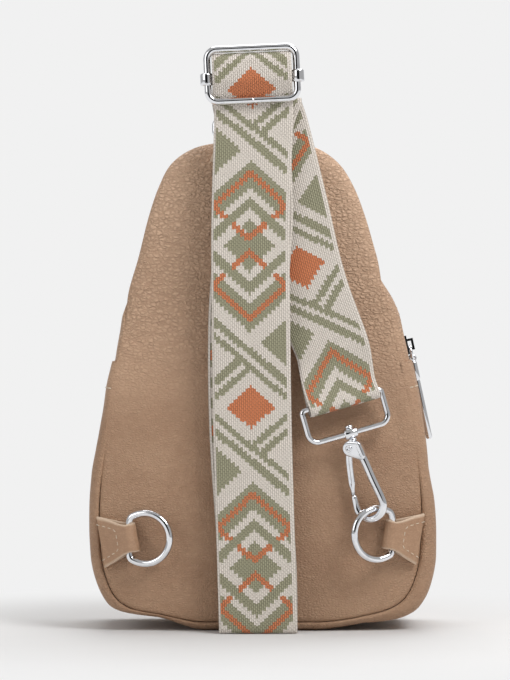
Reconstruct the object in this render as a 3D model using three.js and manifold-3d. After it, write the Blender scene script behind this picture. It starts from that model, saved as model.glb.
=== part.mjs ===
// A small teardrop sling backpack of pebbled leather with a patterned webbing strap.
// It stands on its base with its back to -Y. Sizes are in millimetres, X runs across and Z is up.
import * as THREE from "three";
import { mergeVertices } from "three/addons/utils/BufferGeometryUtils.js";
import Module from "manifold-3d";

// Leather body, measured on the seam line that joins the back panel to the sides
const seamHalfWidth = 99.5;
const seamHeight = 293.3;
const baseDepth = 86;
const topDepth = 60;
const leather = 2;
const panelDome = 6;
const sideBulge = 7.5;
const topBulge = 2.6;
const cornerDepth = 10;
const gussetTop = 166;
// Seam line from the middle of the base to the middle of the top, in percent of half width and height
const seamPercent = [
  [0, 0], [22, 0], [44, 0], [58, 0], [75.4, 1.4], [89.4, 4.3], [97, 9.7], [99.7, 16.9], [100, 24],
  [98.5, 30.9], [94.1, 42.8], [87.7, 52.3], [81.4, 61.9], [75.6, 69.7], [69.8, 75.9], [62.3, 84.7],
  [55.3, 90.9], [46.7, 95.5], [34.2, 98.5], [18.1, 99.8], [0, 100],
];

// Zipper over the top of the bag
const zipSlot = 11;
const zipTape = 0.8;
const zipTapeOverlap = 7;
const chainWidth = 4;
const chainHeight = 2.7;
const chainSunk = 0.6;
const sliderLength = 12;
const sliderWidth = 8.4;
const sliderPlate = 2;
const sliderAboveGusset = 9;
const pullRingRadius = 4.05;
const pullRingWire = 1.8;
const pullLength = 46;
const pullWidth = 4.6;
const pullLean = 0.3;

// Leather tabs and D-rings at the lower corners
const ringWire = 4.7;
const ringRadius = 15;
const ringBarOffset = 9;
const tabReach = 18.5;
const ringBarZ = 60;
const ringLift = 12;
const clippedRingLift = 25;
const tabFromBow = 0.65;
const tabSeamWidth = 32;
const tabSlope = 8.5;
const tabRise = 0.5;

// Webbing strap
const strapWidth = 49;
const strapThickness = 1.4;
const strapAtBail = strapWidth - 3;
const strapAtFrames = strapWidth - 1.6;
const strapLean = 15.7;
const slantRise = 32;
const slantYaw = -6;
const slantInset = 2.4;
const layerPitch = 4.2;
const strapStandoff = 10;
const topFoldAboveRing = 19.2;
const strapFloorGap = 0.8;

// Strap adjuster
const adjusterWire = 4.4;
const adjusterWidth = strapAtFrames + 2 * adjusterWire + 3.2;
const adjusterHeight = 36.4;
const adjusterCorner = 4.4;
const adjusterTilt = 2.6;
const adjusterX = -4;
const adjusterAboveRing = 36.6;
const sliderBarWire = 3.2;
const sliderBarDrop = 2.2;
const collarLength = 6.4;

// Top ring and its tab
const topRingWire = 3.3;
const topRingInner = strapAtFrames + 2;
const topRingRise = 9;
const topRingCorner = 2.4;
const topRingAboveSeam = 6;
const topTabFold = topRingInner - 6.4;
const topTabSeam = topTabFold + 12;

// Swivel snap hook
const bailWire = 3.3;
const bailHeight = 21;
const bailCorner = 6;
const bailTopCorner = 2.2;
const bailYaw = 13;
const hookInFromRing = 25.85;
const hookAboveRing = 62.81;
const hookOutFromRing = 6.03;
const hookTurn = -26;
const hookWire = 4.9;
const hookLength = 56.3;
const bowRadius = 9;
const bossWidth = 8.6;
const bossHeight = 6.6;
const bossDepth = 6;
const stemRadius = 1.6;
const lobeRadius = 5.6;
const lobeThickness = 6.2;
const pivotSide = -2.5;
const pivotDrop = 8.8;
const gateThickness = 3;
const gateWire = 2.9;
const rivetRadius = 1.5;
const rivetHead = 2.1;

// Fits
const gap = 0.3;
const tabFit = 0.55;
const seamGap = 0.6;
const runningFit = 0.2;
const wireSides = 10;
const cornerLead = 0.8;

const kernel = await Module();
kernel.setup();

const radians = THREE.MathUtils.degToRad;
const vector = (x, y, z) => new THREE.Vector3(x, y, z);
const smoothstep = THREE.MathUtils.smoothstep;
const lerp = THREE.MathUtils.lerp;

// Turns a geometry's faces outward.
function outward(geometry) {
  const index = geometry.index.array;
  const at = geometry.attributes.position;
  const corner = [vector(), vector(), vector()];
  let volume = 0;
  for (let i = 0; i < index.length; i += 3) {
    corner.forEach((p, k) => p.fromBufferAttribute(at, index[i + k]));
    volume += corner[0].dot(corner[1].cross(corner[2]));
  }
  if (volume < 0) {
    for (let i = 0; i < index.length; i += 3) {
      [index[i + 1], index[i + 2]] = [index[i + 2], index[i + 1]];
    }
  }
  return geometry;
}

function indexed(points, index) {
  const geometry = new THREE.BufferGeometry();
  geometry.setAttribute("position", new THREE.Float32BufferAttribute(points.flatMap((p) => p.toArray()), 3));
  geometry.setIndex(index);
  return outward(geometry);
}

function welded(geometry) {
  const bare = geometry.clone();
  bare.deleteAttribute("normal");
  bare.deleteAttribute("uv");
  return mergeVertices(bare, 1e-4);
}

// A sheet of material between two grids of points with the same rows and columns.
function sheetSolid(outer, inner) {
  const rows = outer.length;
  const columns = outer[0].length;
  const at = (side, row, column) => (side * rows + row) * columns + column;
  const index = [];
  const quad = (a, b, c, d) => index.push(a, b, c, a, c, d);
  for (let r = 0; r < rows - 1; r++) {
    for (let c = 0; c < columns - 1; c++) {
      quad(at(0, r, c), at(0, r, c + 1), at(0, r + 1, c + 1), at(0, r + 1, c));
      quad(at(1, r, c), at(1, r + 1, c), at(1, r + 1, c + 1), at(1, r, c + 1));
    }
    quad(at(0, r, 0), at(0, r + 1, 0), at(1, r + 1, 0), at(1, r, 0));
    const last = columns - 1;
    quad(at(0, r, last), at(1, r, last), at(1, r + 1, last), at(0, r + 1, last));
  }
  for (let c = 0; c < columns - 1; c++) {
    quad(at(0, 0, c), at(1, 0, c), at(1, 0, c + 1), at(0, 0, c + 1));
    const last = rows - 1;
    quad(at(0, last, c), at(0, last, c + 1), at(1, last, c + 1), at(1, last, c));
  }
  return indexed([...outer.flat(), ...inner.flat()], index);
}

// Joins the vertices of loose triangles that lie within a short reach of each other.
function closedUp(triangles, reach) {
  const points = [];
  const index = triangles.map((corner) => {
    const known = points.findIndex((p) => p.distanceToSquared(corner) < reach * reach);
    return known < 0 ? points.push(corner) - 1 : known;
  });
  return indexed(points, index);
}

// A wire of round section along a curve, with a ring of points at each spacing. A closed curve has no end caps.
function wire(curve, radius, spacing, sides = wireSides) {
  const steps = Math.ceil(curve.getLength() / spacing);
  const circle = new THREE.Path().absarc(0, 0, radius, 0, 2 * Math.PI).getPoints(sides / 2);
  const tube = new THREE.ExtrudeGeometry(new THREE.Shape(circle), { extrudePath: curve, steps });
  const wall = tube.groups.find((group) => group.materialIndex === 1);
  const from = curve.closed ? wall.start : 0;
  const triangles = [];
  for (let i = from; i < wall.start + wall.count; i++) {
    triangles.push(vector().fromBufferAttribute(tube.attributes.position, i));
  }
  return closedUp(triangles, radius / 100);
}

const loop = (points) => new THREE.CatmullRomCurve3(points, true, "centripetal");
const run = (points) => new THREE.CatmullRomCurve3(points, false, "centripetal");

// Rounded rectangle in the XZ plane as points along its line, with a radius for the lower and upper corners.
function roundedFrame(halfWidth, bottom, top, lowRadius, highRadius, cornerPoints = 5) {
  const corners = [
    [halfWidth - lowRadius, bottom + lowRadius, lowRadius, -90],
    [halfWidth - highRadius, top - highRadius, highRadius, 0],
    [highRadius - halfWidth, top - highRadius, highRadius, 90],
    [lowRadius - halfWidth, bottom + lowRadius, lowRadius, 180],
  ];
  const turns = corners.map(([x, z, radius, start]) =>
    Array.from({ length: cornerPoints + 1 }, (_, i) => {
      const angle = radians(start + (90 * i) / cornerPoints);
      return vector(x + radius * Math.cos(angle), 0, z + radius * Math.sin(angle));
    }),
  );
  return turns.flatMap((turn, i) => {
    const next = turns[(i + 1) % turns.length][0];
    const lead = cornerLead / turn.at(-1).distanceTo(next);
    const shares = [lead, 2 * lead, 0.5, 1 - 2 * lead, 1 - lead];
    const straight = shares.map((share) => turn.at(-1).clone().lerp(next, share));
    return [...turn, ...straight];
  });
}

function toSolid(geometry) {
  const plain = welded(geometry);
  return new kernel.Manifold(
    new kernel.Mesh({
      numProp: 3,
      vertProperties: new Float32Array(plain.attributes.position.array),
      triVerts: new Uint32Array(plain.index.array),
    }),
  );
}

function fromSolid(solid) {
  const mesh = solid.getMesh();
  const geometry = new THREE.BufferGeometry();
  geometry.setAttribute("position", new THREE.BufferAttribute(new Float32Array(mesh.vertProperties), 3));
  geometry.setIndex(new THREE.BufferAttribute(new Uint32Array(mesh.triVerts), 1));
  return geometry;
}

const joined = (...shapes) => fromSolid(shapes.map(toSolid).reduce((a, b) => a.add(b)));
const cut = (shape, ...tools) => fromSolid(tools.map(toSolid).reduce((a, b) => a.subtract(b), toSolid(shape)));

const box = (x, y, z, at) => new THREE.BoxGeometry(x, y, z).translate(at.x, at.y, at.z);

// A round bar between two heights of one axis, "x", "y" or "z".
function bar(radius, from, to, axis, at = vector(0, 0, 0), sides = 20) {
  const rod = new THREE.CylinderGeometry(radius, radius, to - from, sides);
  rod.translate(0, (from + to) / 2, 0);
  if (axis === "x") rod.rotateZ(-Math.PI / 2);
  if (axis === "z") rod.rotateX(Math.PI / 2);
  return rod.translate(at.x, at.y, at.z);
}

// Seam line and the surfaces built on it
const seamBase = sideBulge;
const seamPoint = ([across, up], side) =>
  vector((side * seamHalfWidth * across) / 100, 0, seamBase + (seamHeight * up) / 100);
const rightSeam = seamPercent.map((point) => seamPoint(point, 1));
const leftSeam = seamPercent.slice(1, -1).map((point) => seamPoint(point, -1));
const seam = loop([...rightSeam, ...leftSeam.reverse()]);

// Place on the right half of the seam: 0 at the middle of the base, 1 at the middle of the top.
const onSeam = (share) => {
  const turn = (share / 2 + 1) % 1;
  const at = seam.getPoint(turn);
  at.z = Math.max(at.z, seamBase);
  const along = seam.getTangent(turn);
  return { at, along, out: vector(along.z, 0, -along.x) };
};

function seamShareAt(height) {
  let low = 0.2;
  let high = 1;
  for (let i = 0; i < 40; i++) {
    const middle = (low + high) / 2;
    if (seam.getPoint(middle / 2).z < height) low = middle;
    else high = middle;
  }
  return low;
}

const halfDepth = (z) => lerp(baseDepth, topDepth, smoothstep(z, gussetTop * 0.4, seamHeight)) / 2;
const bulgeAt = (z) => lerp(sideBulge, topBulge, smoothstep(z, gussetTop + 29, gussetTop + 62));
const middleOfPanel = vector(0, 0, seamBase + seamHeight * 0.4);

// Height of the panel's dome at a share of the way from its middle to the seam.
const domeAt = (share) => panelDome * (1 - share ** 3);

// Outer surface of the back panel at a place on it.
function backSurface(x, z) {
  const from = vector(x - middleOfPanel.x, 0, z - middleOfPanel.z);
  const outline = seam.getPoints(160);
  let share = 0;
  for (let i = 0; i < outline.length - 1; i++) {
    const a = outline[i].clone().sub(middleOfPanel);
    const b = outline[i + 1].clone().sub(middleOfPanel);
    const turn = a.x * b.z - a.z * b.x;
    const first = (from.x * b.z - from.z * b.x) / turn;
    const second = (a.x * from.z - a.z * from.x) / turn;
    if (first >= 0 && second >= 0) share = Math.max(share, first + second);
  }
  return -halfDepth(z) - domeAt(Math.min(share, 1));
}

// A domed leather panel inside the seam line, on the -1 (back) or 1 (front) side.
function panel(side) {
  const shares = [0.4, 0.7, 0.88, 1];
  const count = 60;
  const points = [];
  const index = [];
  const quad = (a, b, c, d) => index.push(a, b, c, a, c, d);
  const perFace = 1 + shares.length * count;
  for (const inset of [0, leather]) {
    points.push(vector(0, side * (halfDepth(middleOfPanel.z) + panelDome - inset), middleOfPanel.z));
    for (const share of shares) {
      for (let i = 0; i < count; i++) {
        const { at, out } = onSeam((2 * i) / count);
        const edge = at.clone().addScaledVector(out, -seamGap / 2);
        const point = middleOfPanel.clone().lerp(edge, share);
        point.y = side * (halfDepth(point.z) + domeAt(share) - inset);
        points.push(point);
      }
    }
  }
  const at = (face, ring, i) => face * perFace + 1 + ring * count + (i % count);
  const lastRing = shares.length - 1;
  for (let i = 0; i < count; i++) {
    index.push(0, at(0, 0, i), at(0, 0, i + 1), perFace, at(1, 0, i + 1), at(1, 0, i));
    for (let ring = 0; ring < lastRing; ring++) {
      quad(at(0, ring, i), at(0, ring + 1, i), at(0, ring + 1, i + 1), at(0, ring, i + 1));
      quad(at(1, ring, i), at(1, ring, i + 1), at(1, ring + 1, i + 1), at(1, ring + 1, i));
    }
    quad(at(0, lastRing, i), at(1, lastRing, i), at(1, lastRing, i + 1), at(0, lastRing, i + 1));
  }
  return indexed(points, index);
}

// A strip round the seam line between two shares of it. The profile gives pairs of [outward, y] points
// for its outer and inner face at one place.
function stripAlongSeam(from, to, steps, profile) {
  const outer = [];
  const inner = [];
  for (let i = 0; i <= steps; i++) {
    const { at, out } = onSeam(lerp(from, to, i / steps));
    const place = ([away, y]) => at.clone().addScaledVector(out, away).setY(y);
    const faces = profile(at.z);
    outer.push(faces.outer.map(place));
    inner.push(faces.inner.map(place));
  }
  return sheetSolid(outer, inner);
}

// Rounded edge of a side strip from the seam out to the full bulge, on the back or front side.
function roundedEdge(z, side, inset) {
  const reach = bulgeAt(z) - inset;
  const depth = cornerDepth - inset;
  return [0, 22.5, 45, 67.5, 90].map((degrees) => {
    const angle = radians(degrees);
    const away = seamGap / 2 + (reach - seamGap / 2) * Math.sin(angle);
    return [away, side * (halfDepth(z) - cornerDepth + depth * Math.cos(angle))];
  });
}

const gussetProfile = (z) => {
  const face = (inset) => [...roundedEdge(z, -1, inset), ...roundedEdge(z, 1, inset).reverse()];
  return { outer: face(0), inner: face(leather) };
};

const zipStripProfile = (side) => (z) => {
  const face = (inset) => [...roundedEdge(z, side, inset), [bulgeAt(z) - inset, (side * zipSlot) / 2]];
  return { outer: face(0), inner: face(leather) };
};

const zipTapeProfile = (side) => (z) => {
  const face = (inset) => {
    const away = bulgeAt(z) - leather - gap - inset;
    return [[away, side * (zipSlot / 2 + zipTapeOverlap)], [away, side * (chainWidth / 2 + gap)]];
  };
  return { outer: face(0), inner: face(zipTape) };
};

const chainProfile = (z) => {
  const face = (inset) => [-1, 1].map((side) => [bulgeAt(z) - chainSunk - inset, (side * chainWidth) / 2]);
  return { outer: face(0), inner: face(chainHeight) };
};

// Folded leather tab: a loop round a wire along Z at the origin, with its sewn end at +X.
function foldedTab(wireSize, length, widthAt) {
  const inside = wireSize / 2 + tabFit;
  const outside = inside + leather;
  const shape = new THREE.Shape();
  shape.absarc(0, 0, outside, Math.PI / 2, 1.5 * Math.PI);
  shape.lineTo(length, outside - 2 * leather);
  shape.lineTo(length, outside);
  shape.closePath();
  const hole = new THREE.Path();
  hole.absarc(0, 0, inside, Math.PI / 2, 1.5 * Math.PI);
  hole.lineTo(length * 0.5, inside - leather * 0.55);
  hole.closePath();
  shape.holes.push(hole);
  const tab = new THREE.ExtrudeGeometry(shape, { depth: 1, bevelEnabled: false, curveSegments: 10, steps: 1 });
  tab.translate(0, 0, -0.5);
  const position = tab.attributes.position;
  for (let i = 0; i < position.count; i++) {
    position.setZ(i, position.getZ(i) * widthAt(position.getX(i) / length));
  }
  return welded(tab);
}

// Half the length of a D-ring's bar between the ends of its bow
const ringHalfBar = Math.sqrt(ringRadius ** 2 - ringBarOffset ** 2);
const tabFoldWidth = 2 * (ringHalfBar - ringWire / 2 - tabFromBow);

// D-ring with its bar along Z at the origin and its bow toward -X.
function dRing() {
  const barAngle = Math.acos(ringBarOffset / ringRadius);
  const points = [];
  const bowPoints = 22;
  for (let i = 0; i <= bowPoints; i++) {
    const angle = lerp(barAngle + 0.12, 2 * Math.PI - barAngle - 0.12, i / bowPoints);
    points.push(vector(ringRadius * Math.cos(angle) - ringBarOffset, 0, ringRadius * Math.sin(angle)));
  }
  const halfBar = ringHalfBar - ringWire * 0.55;
  [-1, -0.33, 0.33, 1].forEach((share) => points.push(vector(0, 0, share * halfBar)));
  return wire(loop(points), ringWire / 2, 2.2);
}

const object = new THREE.Group();
object.name = "sling_backpack";

function add(name, geometry, color, roughness, metalness) {
  const material = new THREE.MeshStandardMaterial({ color, roughness, metalness });
  const mesh = new THREE.Mesh(geometry, material);
  mesh.name = name;
  object.add(mesh);
  return mesh;
}

const addLeather = (name, geometry) => add(name, geometry, 0xa5876e, 0.55, 0);
const addChrome = (name, geometry) => add(name, geometry, 0xd9dade, 0.12, 1);

// Leather body
const gussetShare = seamShareAt(gussetTop);
const zipShare = seamShareAt(gussetTop + gap);
addLeather("back_panel", panel(-1));
addLeather("front_panel", panel(1));
addLeather("lower_gusset", stripAlongSeam(-gussetShare, gussetShare, 38, gussetProfile));
addLeather("zip_strip_back", stripAlongSeam(zipShare, 2 - zipShare, 36, zipStripProfile(-1)));
addLeather("zip_strip_front", stripAlongSeam(zipShare, 2 - zipShare, 36, zipStripProfile(1)));
add("zip_tape_back", stripAlongSeam(zipShare, 2 - zipShare, 36, zipTapeProfile(-1)), 0x9c8069, 0.85, 0);
add("zip_tape_front", stripAlongSeam(zipShare, 2 - zipShare, 36, zipTapeProfile(1)), 0x9c8069, 0.85, 0);
addChrome("zip_chain", stripAlongSeam(zipShare, 2 - zipShare, 48, chainProfile));

// Zip slider: a saddle over the chain with a bridge for the ring. Its X runs out of the bag, Z along the zip.
const sliderHeight = gussetTop + sliderAboveGusset;
const sliderPlace = onSeam(seamShareAt(sliderHeight));
const sliderMatrix = new THREE.Matrix4()
  .makeBasis(sliderPlace.out, vector(0, 1, 0), sliderPlace.along)
  .setPosition(sliderPlace.at.clone().addScaledVector(sliderPlace.out, bulgeAt(sliderHeight)));
const plateFoot = gap - chainSunk;
const plateTop = plateFoot + sliderPlate;
const flangeFoot = -leather;
const bridgeWire = 1.5;
const ringSeatX = plateTop + pullRingWire / 2 + runningFit;
const bridgeTop = ringSeatX + pullRingWire / 2 + 2 * runningFit;
const saddle = box(plateTop - flangeFoot, sliderWidth, sliderLength, vector((plateTop + flangeFoot) / 2, 0, 0));
const channelWidth = chainWidth + 2 * gap;
const channelAt = vector((plateFoot + flangeFoot - 1) / 2, 0, 0);
const chainChannel = box(plateFoot - flangeFoot + 1, channelWidth, sliderLength + 2, channelAt);
const bridgeLength = sliderLength * 0.62;
const bridgeWidth = 2.6;
const bridgeAt = vector((bridgeTop + bridgeWire + plateTop - 1) / 2, 0, 0);
const bridge = box(bridgeTop + bridgeWire - plateTop + 1, bridgeWidth, bridgeLength, bridgeAt);
const eyeAt = vector((bridgeTop + plateTop) / 2, 0, 0);
const bridgeEye = box(bridgeTop - plateTop, 2 * bridgeWidth, bridgeLength - 2 * bridgeWire, eyeAt);
addChrome("zip_slider", cut(joined(saddle, bridge), chainChannel, bridgeEye).applyMatrix4(sliderMatrix));

// Ring in the bridge, and the pull hanging in the ring
const ringPoints = [];
for (let i = 0; i < 16; i++) {
  const angle = (2 * Math.PI * i) / 16;
  ringPoints.push(vector(0, pullRingRadius * Math.sin(angle), pullRingRadius * (Math.cos(angle) - 1)));
}
const ringSeatZ = pullRingWire / 2 + 2 * runningFit - bridgeLength / 2 + bridgeWire;
const ringMatrix = sliderMatrix.clone().multiply(new THREE.Matrix4().makeTranslation(ringSeatX, 0, ringSeatZ));
addChrome("zip_ring", wire(loop(ringPoints), pullRingWire / 2, 1.2, 8).applyMatrix4(ringMatrix));

const eyeInside = pullRingWire / 2 + 2 * runningFit;
const eyeOutside = eyeInside + 1.4;
const ferruleLength = 13;
const pullEye = bar(eyeOutside, -1.3, 1.3, "y");
const ferruleAt = vector(0, 0, -eyeInside - 0.6 - ferruleLength / 2);
const pullFerrule = box(pullWidth, pullWidth, ferruleLength, ferruleAt);
const pullBarWidth = pullWidth * 0.8;
const pullBar = bar(pullBarWidth / 2, -pullLength, -ferruleLength, "z", vector(0, 0, 0), 14);
const pullMatrix = ringMatrix
  .clone()
  .multiply(new THREE.Matrix4().makeTranslation(0, 0, -2 * pullRingRadius))
  .multiply(new THREE.Matrix4().makeRotationY(radians(pullLean)));
const pullSolid = cut(joined(pullEye, pullFerrule, pullBar), bar(eyeInside, -3, 3, "y"));
addChrome("zip_pull", pullSolid.applyMatrix4(pullMatrix));

// D-rings in their folded tabs
const ringBarX = seamHalfWidth - tabReach;
const tabLift = ringWire / 2 + tabFit + leather + tabRise;
const ringBarY = backSurface(ringBarX, ringBarZ) - tabLift;
const tabLength = tabReach - gap;
for (const [name, side, lift] of [["left", -1, ringLift], ["right", 1, clippedRingLift]]) {
  const place = new THREE.Matrix4().makeTranslation(side * ringBarX, ringBarY, ringBarZ);
  const facing = side > 0 ? 0 : Math.PI;
  const turned = (degrees) =>
    place.clone().multiply(new THREE.Matrix4().makeRotationZ(radians(side * degrees)));
  const tab = foldedTab(ringWire, tabLength, (share) => lerp(tabFoldWidth, tabSeamWidth, Math.max(share, 0)));
  if (side < 0) tab.rotateX(Math.PI).rotateZ(facing);
  addLeather(`ring_tab_${name}`, tab.applyMatrix4(turned(tabSlope)));
  addChrome(`d_ring_${name}`, dRing().rotateZ(facing).applyMatrix4(turned(lift)));
}

// Snap hook frame: X along the bail, Z up the strap, with the swivel boss at the origin
const hookX = ringBarX - hookInFromRing;
const hookZ = ringBarZ + hookAboveRing;
const hookY = ringBarY - hookOutFromRing;
const strapFrame = new THREE.Matrix4()
  .makeTranslation(hookX, hookY, hookZ)
  .multiply(new THREE.Matrix4().makeRotationY(radians(-strapLean)));
const bailMatrix = strapFrame.clone().multiply(new THREE.Matrix4().makeRotationZ(radians(bailYaw)));
const hookMatrix = strapFrame.clone().multiply(new THREE.Matrix4().makeRotationZ(radians(hookTurn)));

// Bail: a wire frame with the boss that carries the swivel
const bailHalfWidth = strapAtBail / 2 + 2 * gap + bailWire / 2;
const bailLoop = loop(roundedFrame(bailHalfWidth, 0, bailHeight, bailCorner, bailTopCorner));
const boss = box(bossWidth, bossDepth, bossHeight, vector(0, 0, 0));
const stemHole = bar(stemRadius + runningFit, -bossHeight, bossHeight, "z");
const bail = cut(joined(wire(bailLoop, bailWire / 2, 2.05, 8), boss), stemHole);
addChrome("hook_bail", bail.applyMatrix4(bailMatrix));

// Hook body: the stem and its head, two cheeks with a slot for the gate, the spine, the bow and the nose
const bowCentre = vector(-0.6, 0, bowRadius - hookLength);
const noseTop = bowCentre.z + bowRadius * 0.72;
const bowPath = [vector(1.4, 0, -7), vector(3.5, 0, -12), vector(6, 0, -28)];
for (let i = 0; i <= 10; i++) {
  const angle = radians(8 - 18.8 * i);
  bowPath.push(bowCentre.clone().add(vector(bowRadius * Math.cos(angle), 0, bowRadius * Math.sin(angle))));
}
bowPath.push(vector(bowCentre.x - bowRadius * 0.97, 0, noseTop));
const bossHalf = bossHeight / 2;
const stem = bar(stemRadius, -pivotDrop, bossHalf + runningFit + 0.8, "z");
const stemHead = bar(stemRadius + 1, bossHalf + runningFit, bossHalf + runningFit + 1.7, "z");
const shoulder = bar(stemRadius + 1.4, -bossHalf - 1.6, -bossHalf - runningFit, "z");
const lobeAt = vector(-0.9, 0, -bossHalf - runningFit - lobeRadius - 0.4);
const lobe = bar(lobeRadius, -lobeThickness / 2, lobeThickness / 2, "y", lobeAt);
const slotWidth = gateThickness + 2 * runningFit;
const gateSlot = box(14, slotWidth, 16, vector(-6.2, 0, -pivotDrop - 3.6));
const pivotAt = vector(pivotSide, 0, -pivotDrop);
const pivotHole = bar(rivetRadius + runningFit, -lobeThickness, lobeThickness, "y", pivotAt);
const spine = wire(run(bowPath), hookWire / 2, 2);
const hookBody = cut(joined(lobe, shoulder, stem, stemHead, spine), gateSlot, pivotHole);
addChrome("hook_body", hookBody.applyMatrix4(hookMatrix));

// Gate: an eye on the rivet and a bar that closes on the nose
const gateEnd = vector(bowCentre.x - bowRadius * 0.97, 0, noseTop + 3 * gap);
const gateEye = bar(3.1, -gateThickness / 2, gateThickness / 2, "y", pivotAt);
const gatePath = [pivotAt.clone().add(vector(-1.6, 0, -1)), vector(-6.1, 0, -17), gateEnd];
const gateBar = wire(run(gatePath), gateWire / 2, 3.5, 8);
const gateHole = bar(rivetRadius + runningFit, -lobeThickness, lobeThickness, "y", pivotAt);
addChrome("hook_gate", cut(joined(gateEye, gateBar), gateHole).applyMatrix4(hookMatrix));
const rivetEnd = lobeThickness / 2 + runningFit;
const rivet = joined(
  bar(rivetRadius, -rivetEnd - 0.3, rivetEnd + 0.3, "y", pivotAt),
  bar(rivetHead, -rivetEnd - 0.6, -rivetEnd, "y", pivotAt),
  bar(rivetHead, rivetEnd, rivetEnd + 0.6, "y", pivotAt),
);
addChrome("gate_rivet", rivet.applyMatrix4(hookMatrix));

// Adjuster frame and the sliding bar that the strap end is sewn round
const topRingZ = seamBase + seamHeight + topRingAboveSeam;
const strapTopFold = topRingZ + topFoldAboveRing;
const adjusterZ = topRingZ + adjusterAboveRing;
const layerY = (layer) => -halfDepth(middleOfPanel.z) - panelDome - strapStandoff - layerPitch * layer;
const topLayerY = (layer) => -halfDepth(strapTopFold) - 12 - layerPitch * layer;
const adjusterY = topLayerY(2) - 3.6;
const adjusterMatrix = new THREE.Matrix4()
  .makeTranslation(adjusterX, adjusterY, adjusterZ)
  .multiply(new THREE.Matrix4().makeRotationY(radians(-adjusterTilt)));
const frameHalfWidth = (adjusterWidth - adjusterWire) / 2;
const frameHalfHeight = (adjusterHeight - adjusterWire) / 2;
const framePoints = roundedFrame(frameHalfWidth, -frameHalfHeight, frameHalfHeight, adjusterCorner, adjusterCorner);
const frameLoop = loop(framePoints);
addChrome("adjuster_frame", wire(frameLoop, adjusterWire / 2, 3.3, 8).applyMatrix4(adjusterMatrix));
const barAt = vector(0, 0, -sliderBarDrop);
const collarInside = adjusterWire / 2 + runningFit;
const collarWall = 1.1;
const collarAt = (side) => vector(side * frameHalfWidth, 0, -sliderBarDrop);
const collars = [-1, 1].map((side) =>
  bar(collarInside + collarWall, -collarLength / 2, collarLength / 2, "z", collarAt(side)),
);
const collarBores = [-1, 1].map((side) => bar(collarInside, -collarLength, collarLength, "z", collarAt(side)));
const sliderBar = bar(sliderBarWire / 2, -frameHalfWidth, frameHalfWidth, "x", barAt, 14);
addChrome("adjuster_bar", cut(joined(sliderBar, ...collars), ...collarBores).applyMatrix4(adjusterMatrix));

// Top ring and the tab that sews it to the top of the back panel
const topRingY = topLayerY(-1.5);
const topPlace = new THREE.Matrix4().makeTranslation(adjusterX, topRingY, topRingZ);
const topRingHalf = (topRingInner + topRingWire) / 2;
const topRingLoop = loop(roundedFrame(topRingHalf, 0, topRingRise, topRingCorner, topRingCorner, 4));
addChrome("top_ring", wire(topRingLoop, topRingWire / 2, 2.9, 6).applyMatrix4(topPlace));
const topTabLength = 16;
const topTabWidth = (share) => lerp(topTabFold, topTabSeam, Math.max(share, 0));
const topTab = foldedTab(topRingWire, topTabLength, topTabWidth);
topTab.rotateY(Math.PI / 2);
addLeather("top_tab", topTab.applyMatrix4(topPlace));

// Strap stations: a place, the direction across the webbing and its width there
const stations = [];
function station(matrix, y, z, width = strapWidth) {
  const at = vector(0, y, z).applyMatrix4(matrix);
  const across = vector(1, 0, 0).transformDirection(matrix);
  stations.push({ at, across, width });
}

// Turns round a wire in the YZ plane of a frame.
function wrap(matrix, centreY, centreZ, radius, from, to, count, width = strapWidth) {
  for (let i = 0; i <= count; i++) {
    const angle = radians(lerp(from, to, i / count));
    station(matrix, centreY + radius * Math.cos(angle), centreZ + radius * Math.sin(angle), width);
  }
}

// A frame at a place over the back panel whose Z leans to the left and whose X is turned toward the panel.
const leaned = (x, z, lean = 0, yaw = 0) =>
  new THREE.Matrix4()
    .makeTranslation(x, 0, z)
    .multiply(new THREE.Matrix4().makeRotationY(radians(-lean)))
    .multiply(new THREE.Matrix4().makeRotationZ(radians(yaw)));

// Sewn end round the bail. Above the bail the strap turns its left edge in behind the hanging layers.
const halfPitch = strapThickness / 2 + 0.2;
const bailWrap = bailWire / 2 + gap + strapThickness / 2;
const turnedIn = (rise) => {
  const share = smoothstep(rise, 6, slantRise);
  const frame = strapFrame.clone().multiply(new THREE.Matrix4().makeTranslation(0, slantInset * share, 0));
  return frame.multiply(new THREE.Matrix4().makeRotationZ(radians(lerp(bailYaw, slantYaw, share))));
};
for (const [rise, loose] of [[26, 0], [17, 0], [8, 0.4]]) {
  station(turnedIn(rise), halfPitch + loose, bailHeight + rise, strapAtBail);
}
wrap(bailMatrix, 0, bailHeight, bailWrap, 0, -180, 6, strapAtBail);
for (const [rise, loose] of [[8, 0.4], [17, 0], [26, 0], [slantRise, 0]]) {
  station(turnedIn(rise), -halfPitch - loose, bailHeight + rise, strapAtBail);
}

// Slanting run up to the first fold
const slantStart = stations.at(-1).at.clone();
const slantX = (z) => slantStart.x - (z - slantStart.z) * Math.tan(radians(strapLean));
const foldRun = 16;
const slantTop = strapTopFold - foldRun;
for (const share of [0.3, 0.65, 1]) {
  const z = lerp(slantStart.z, slantTop, share);
  station(leaned(slantX(z), z, strapLean, slantYaw * (1 - share)), lerp(slantStart.y, topLayerY(0), share), 0);
}

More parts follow.
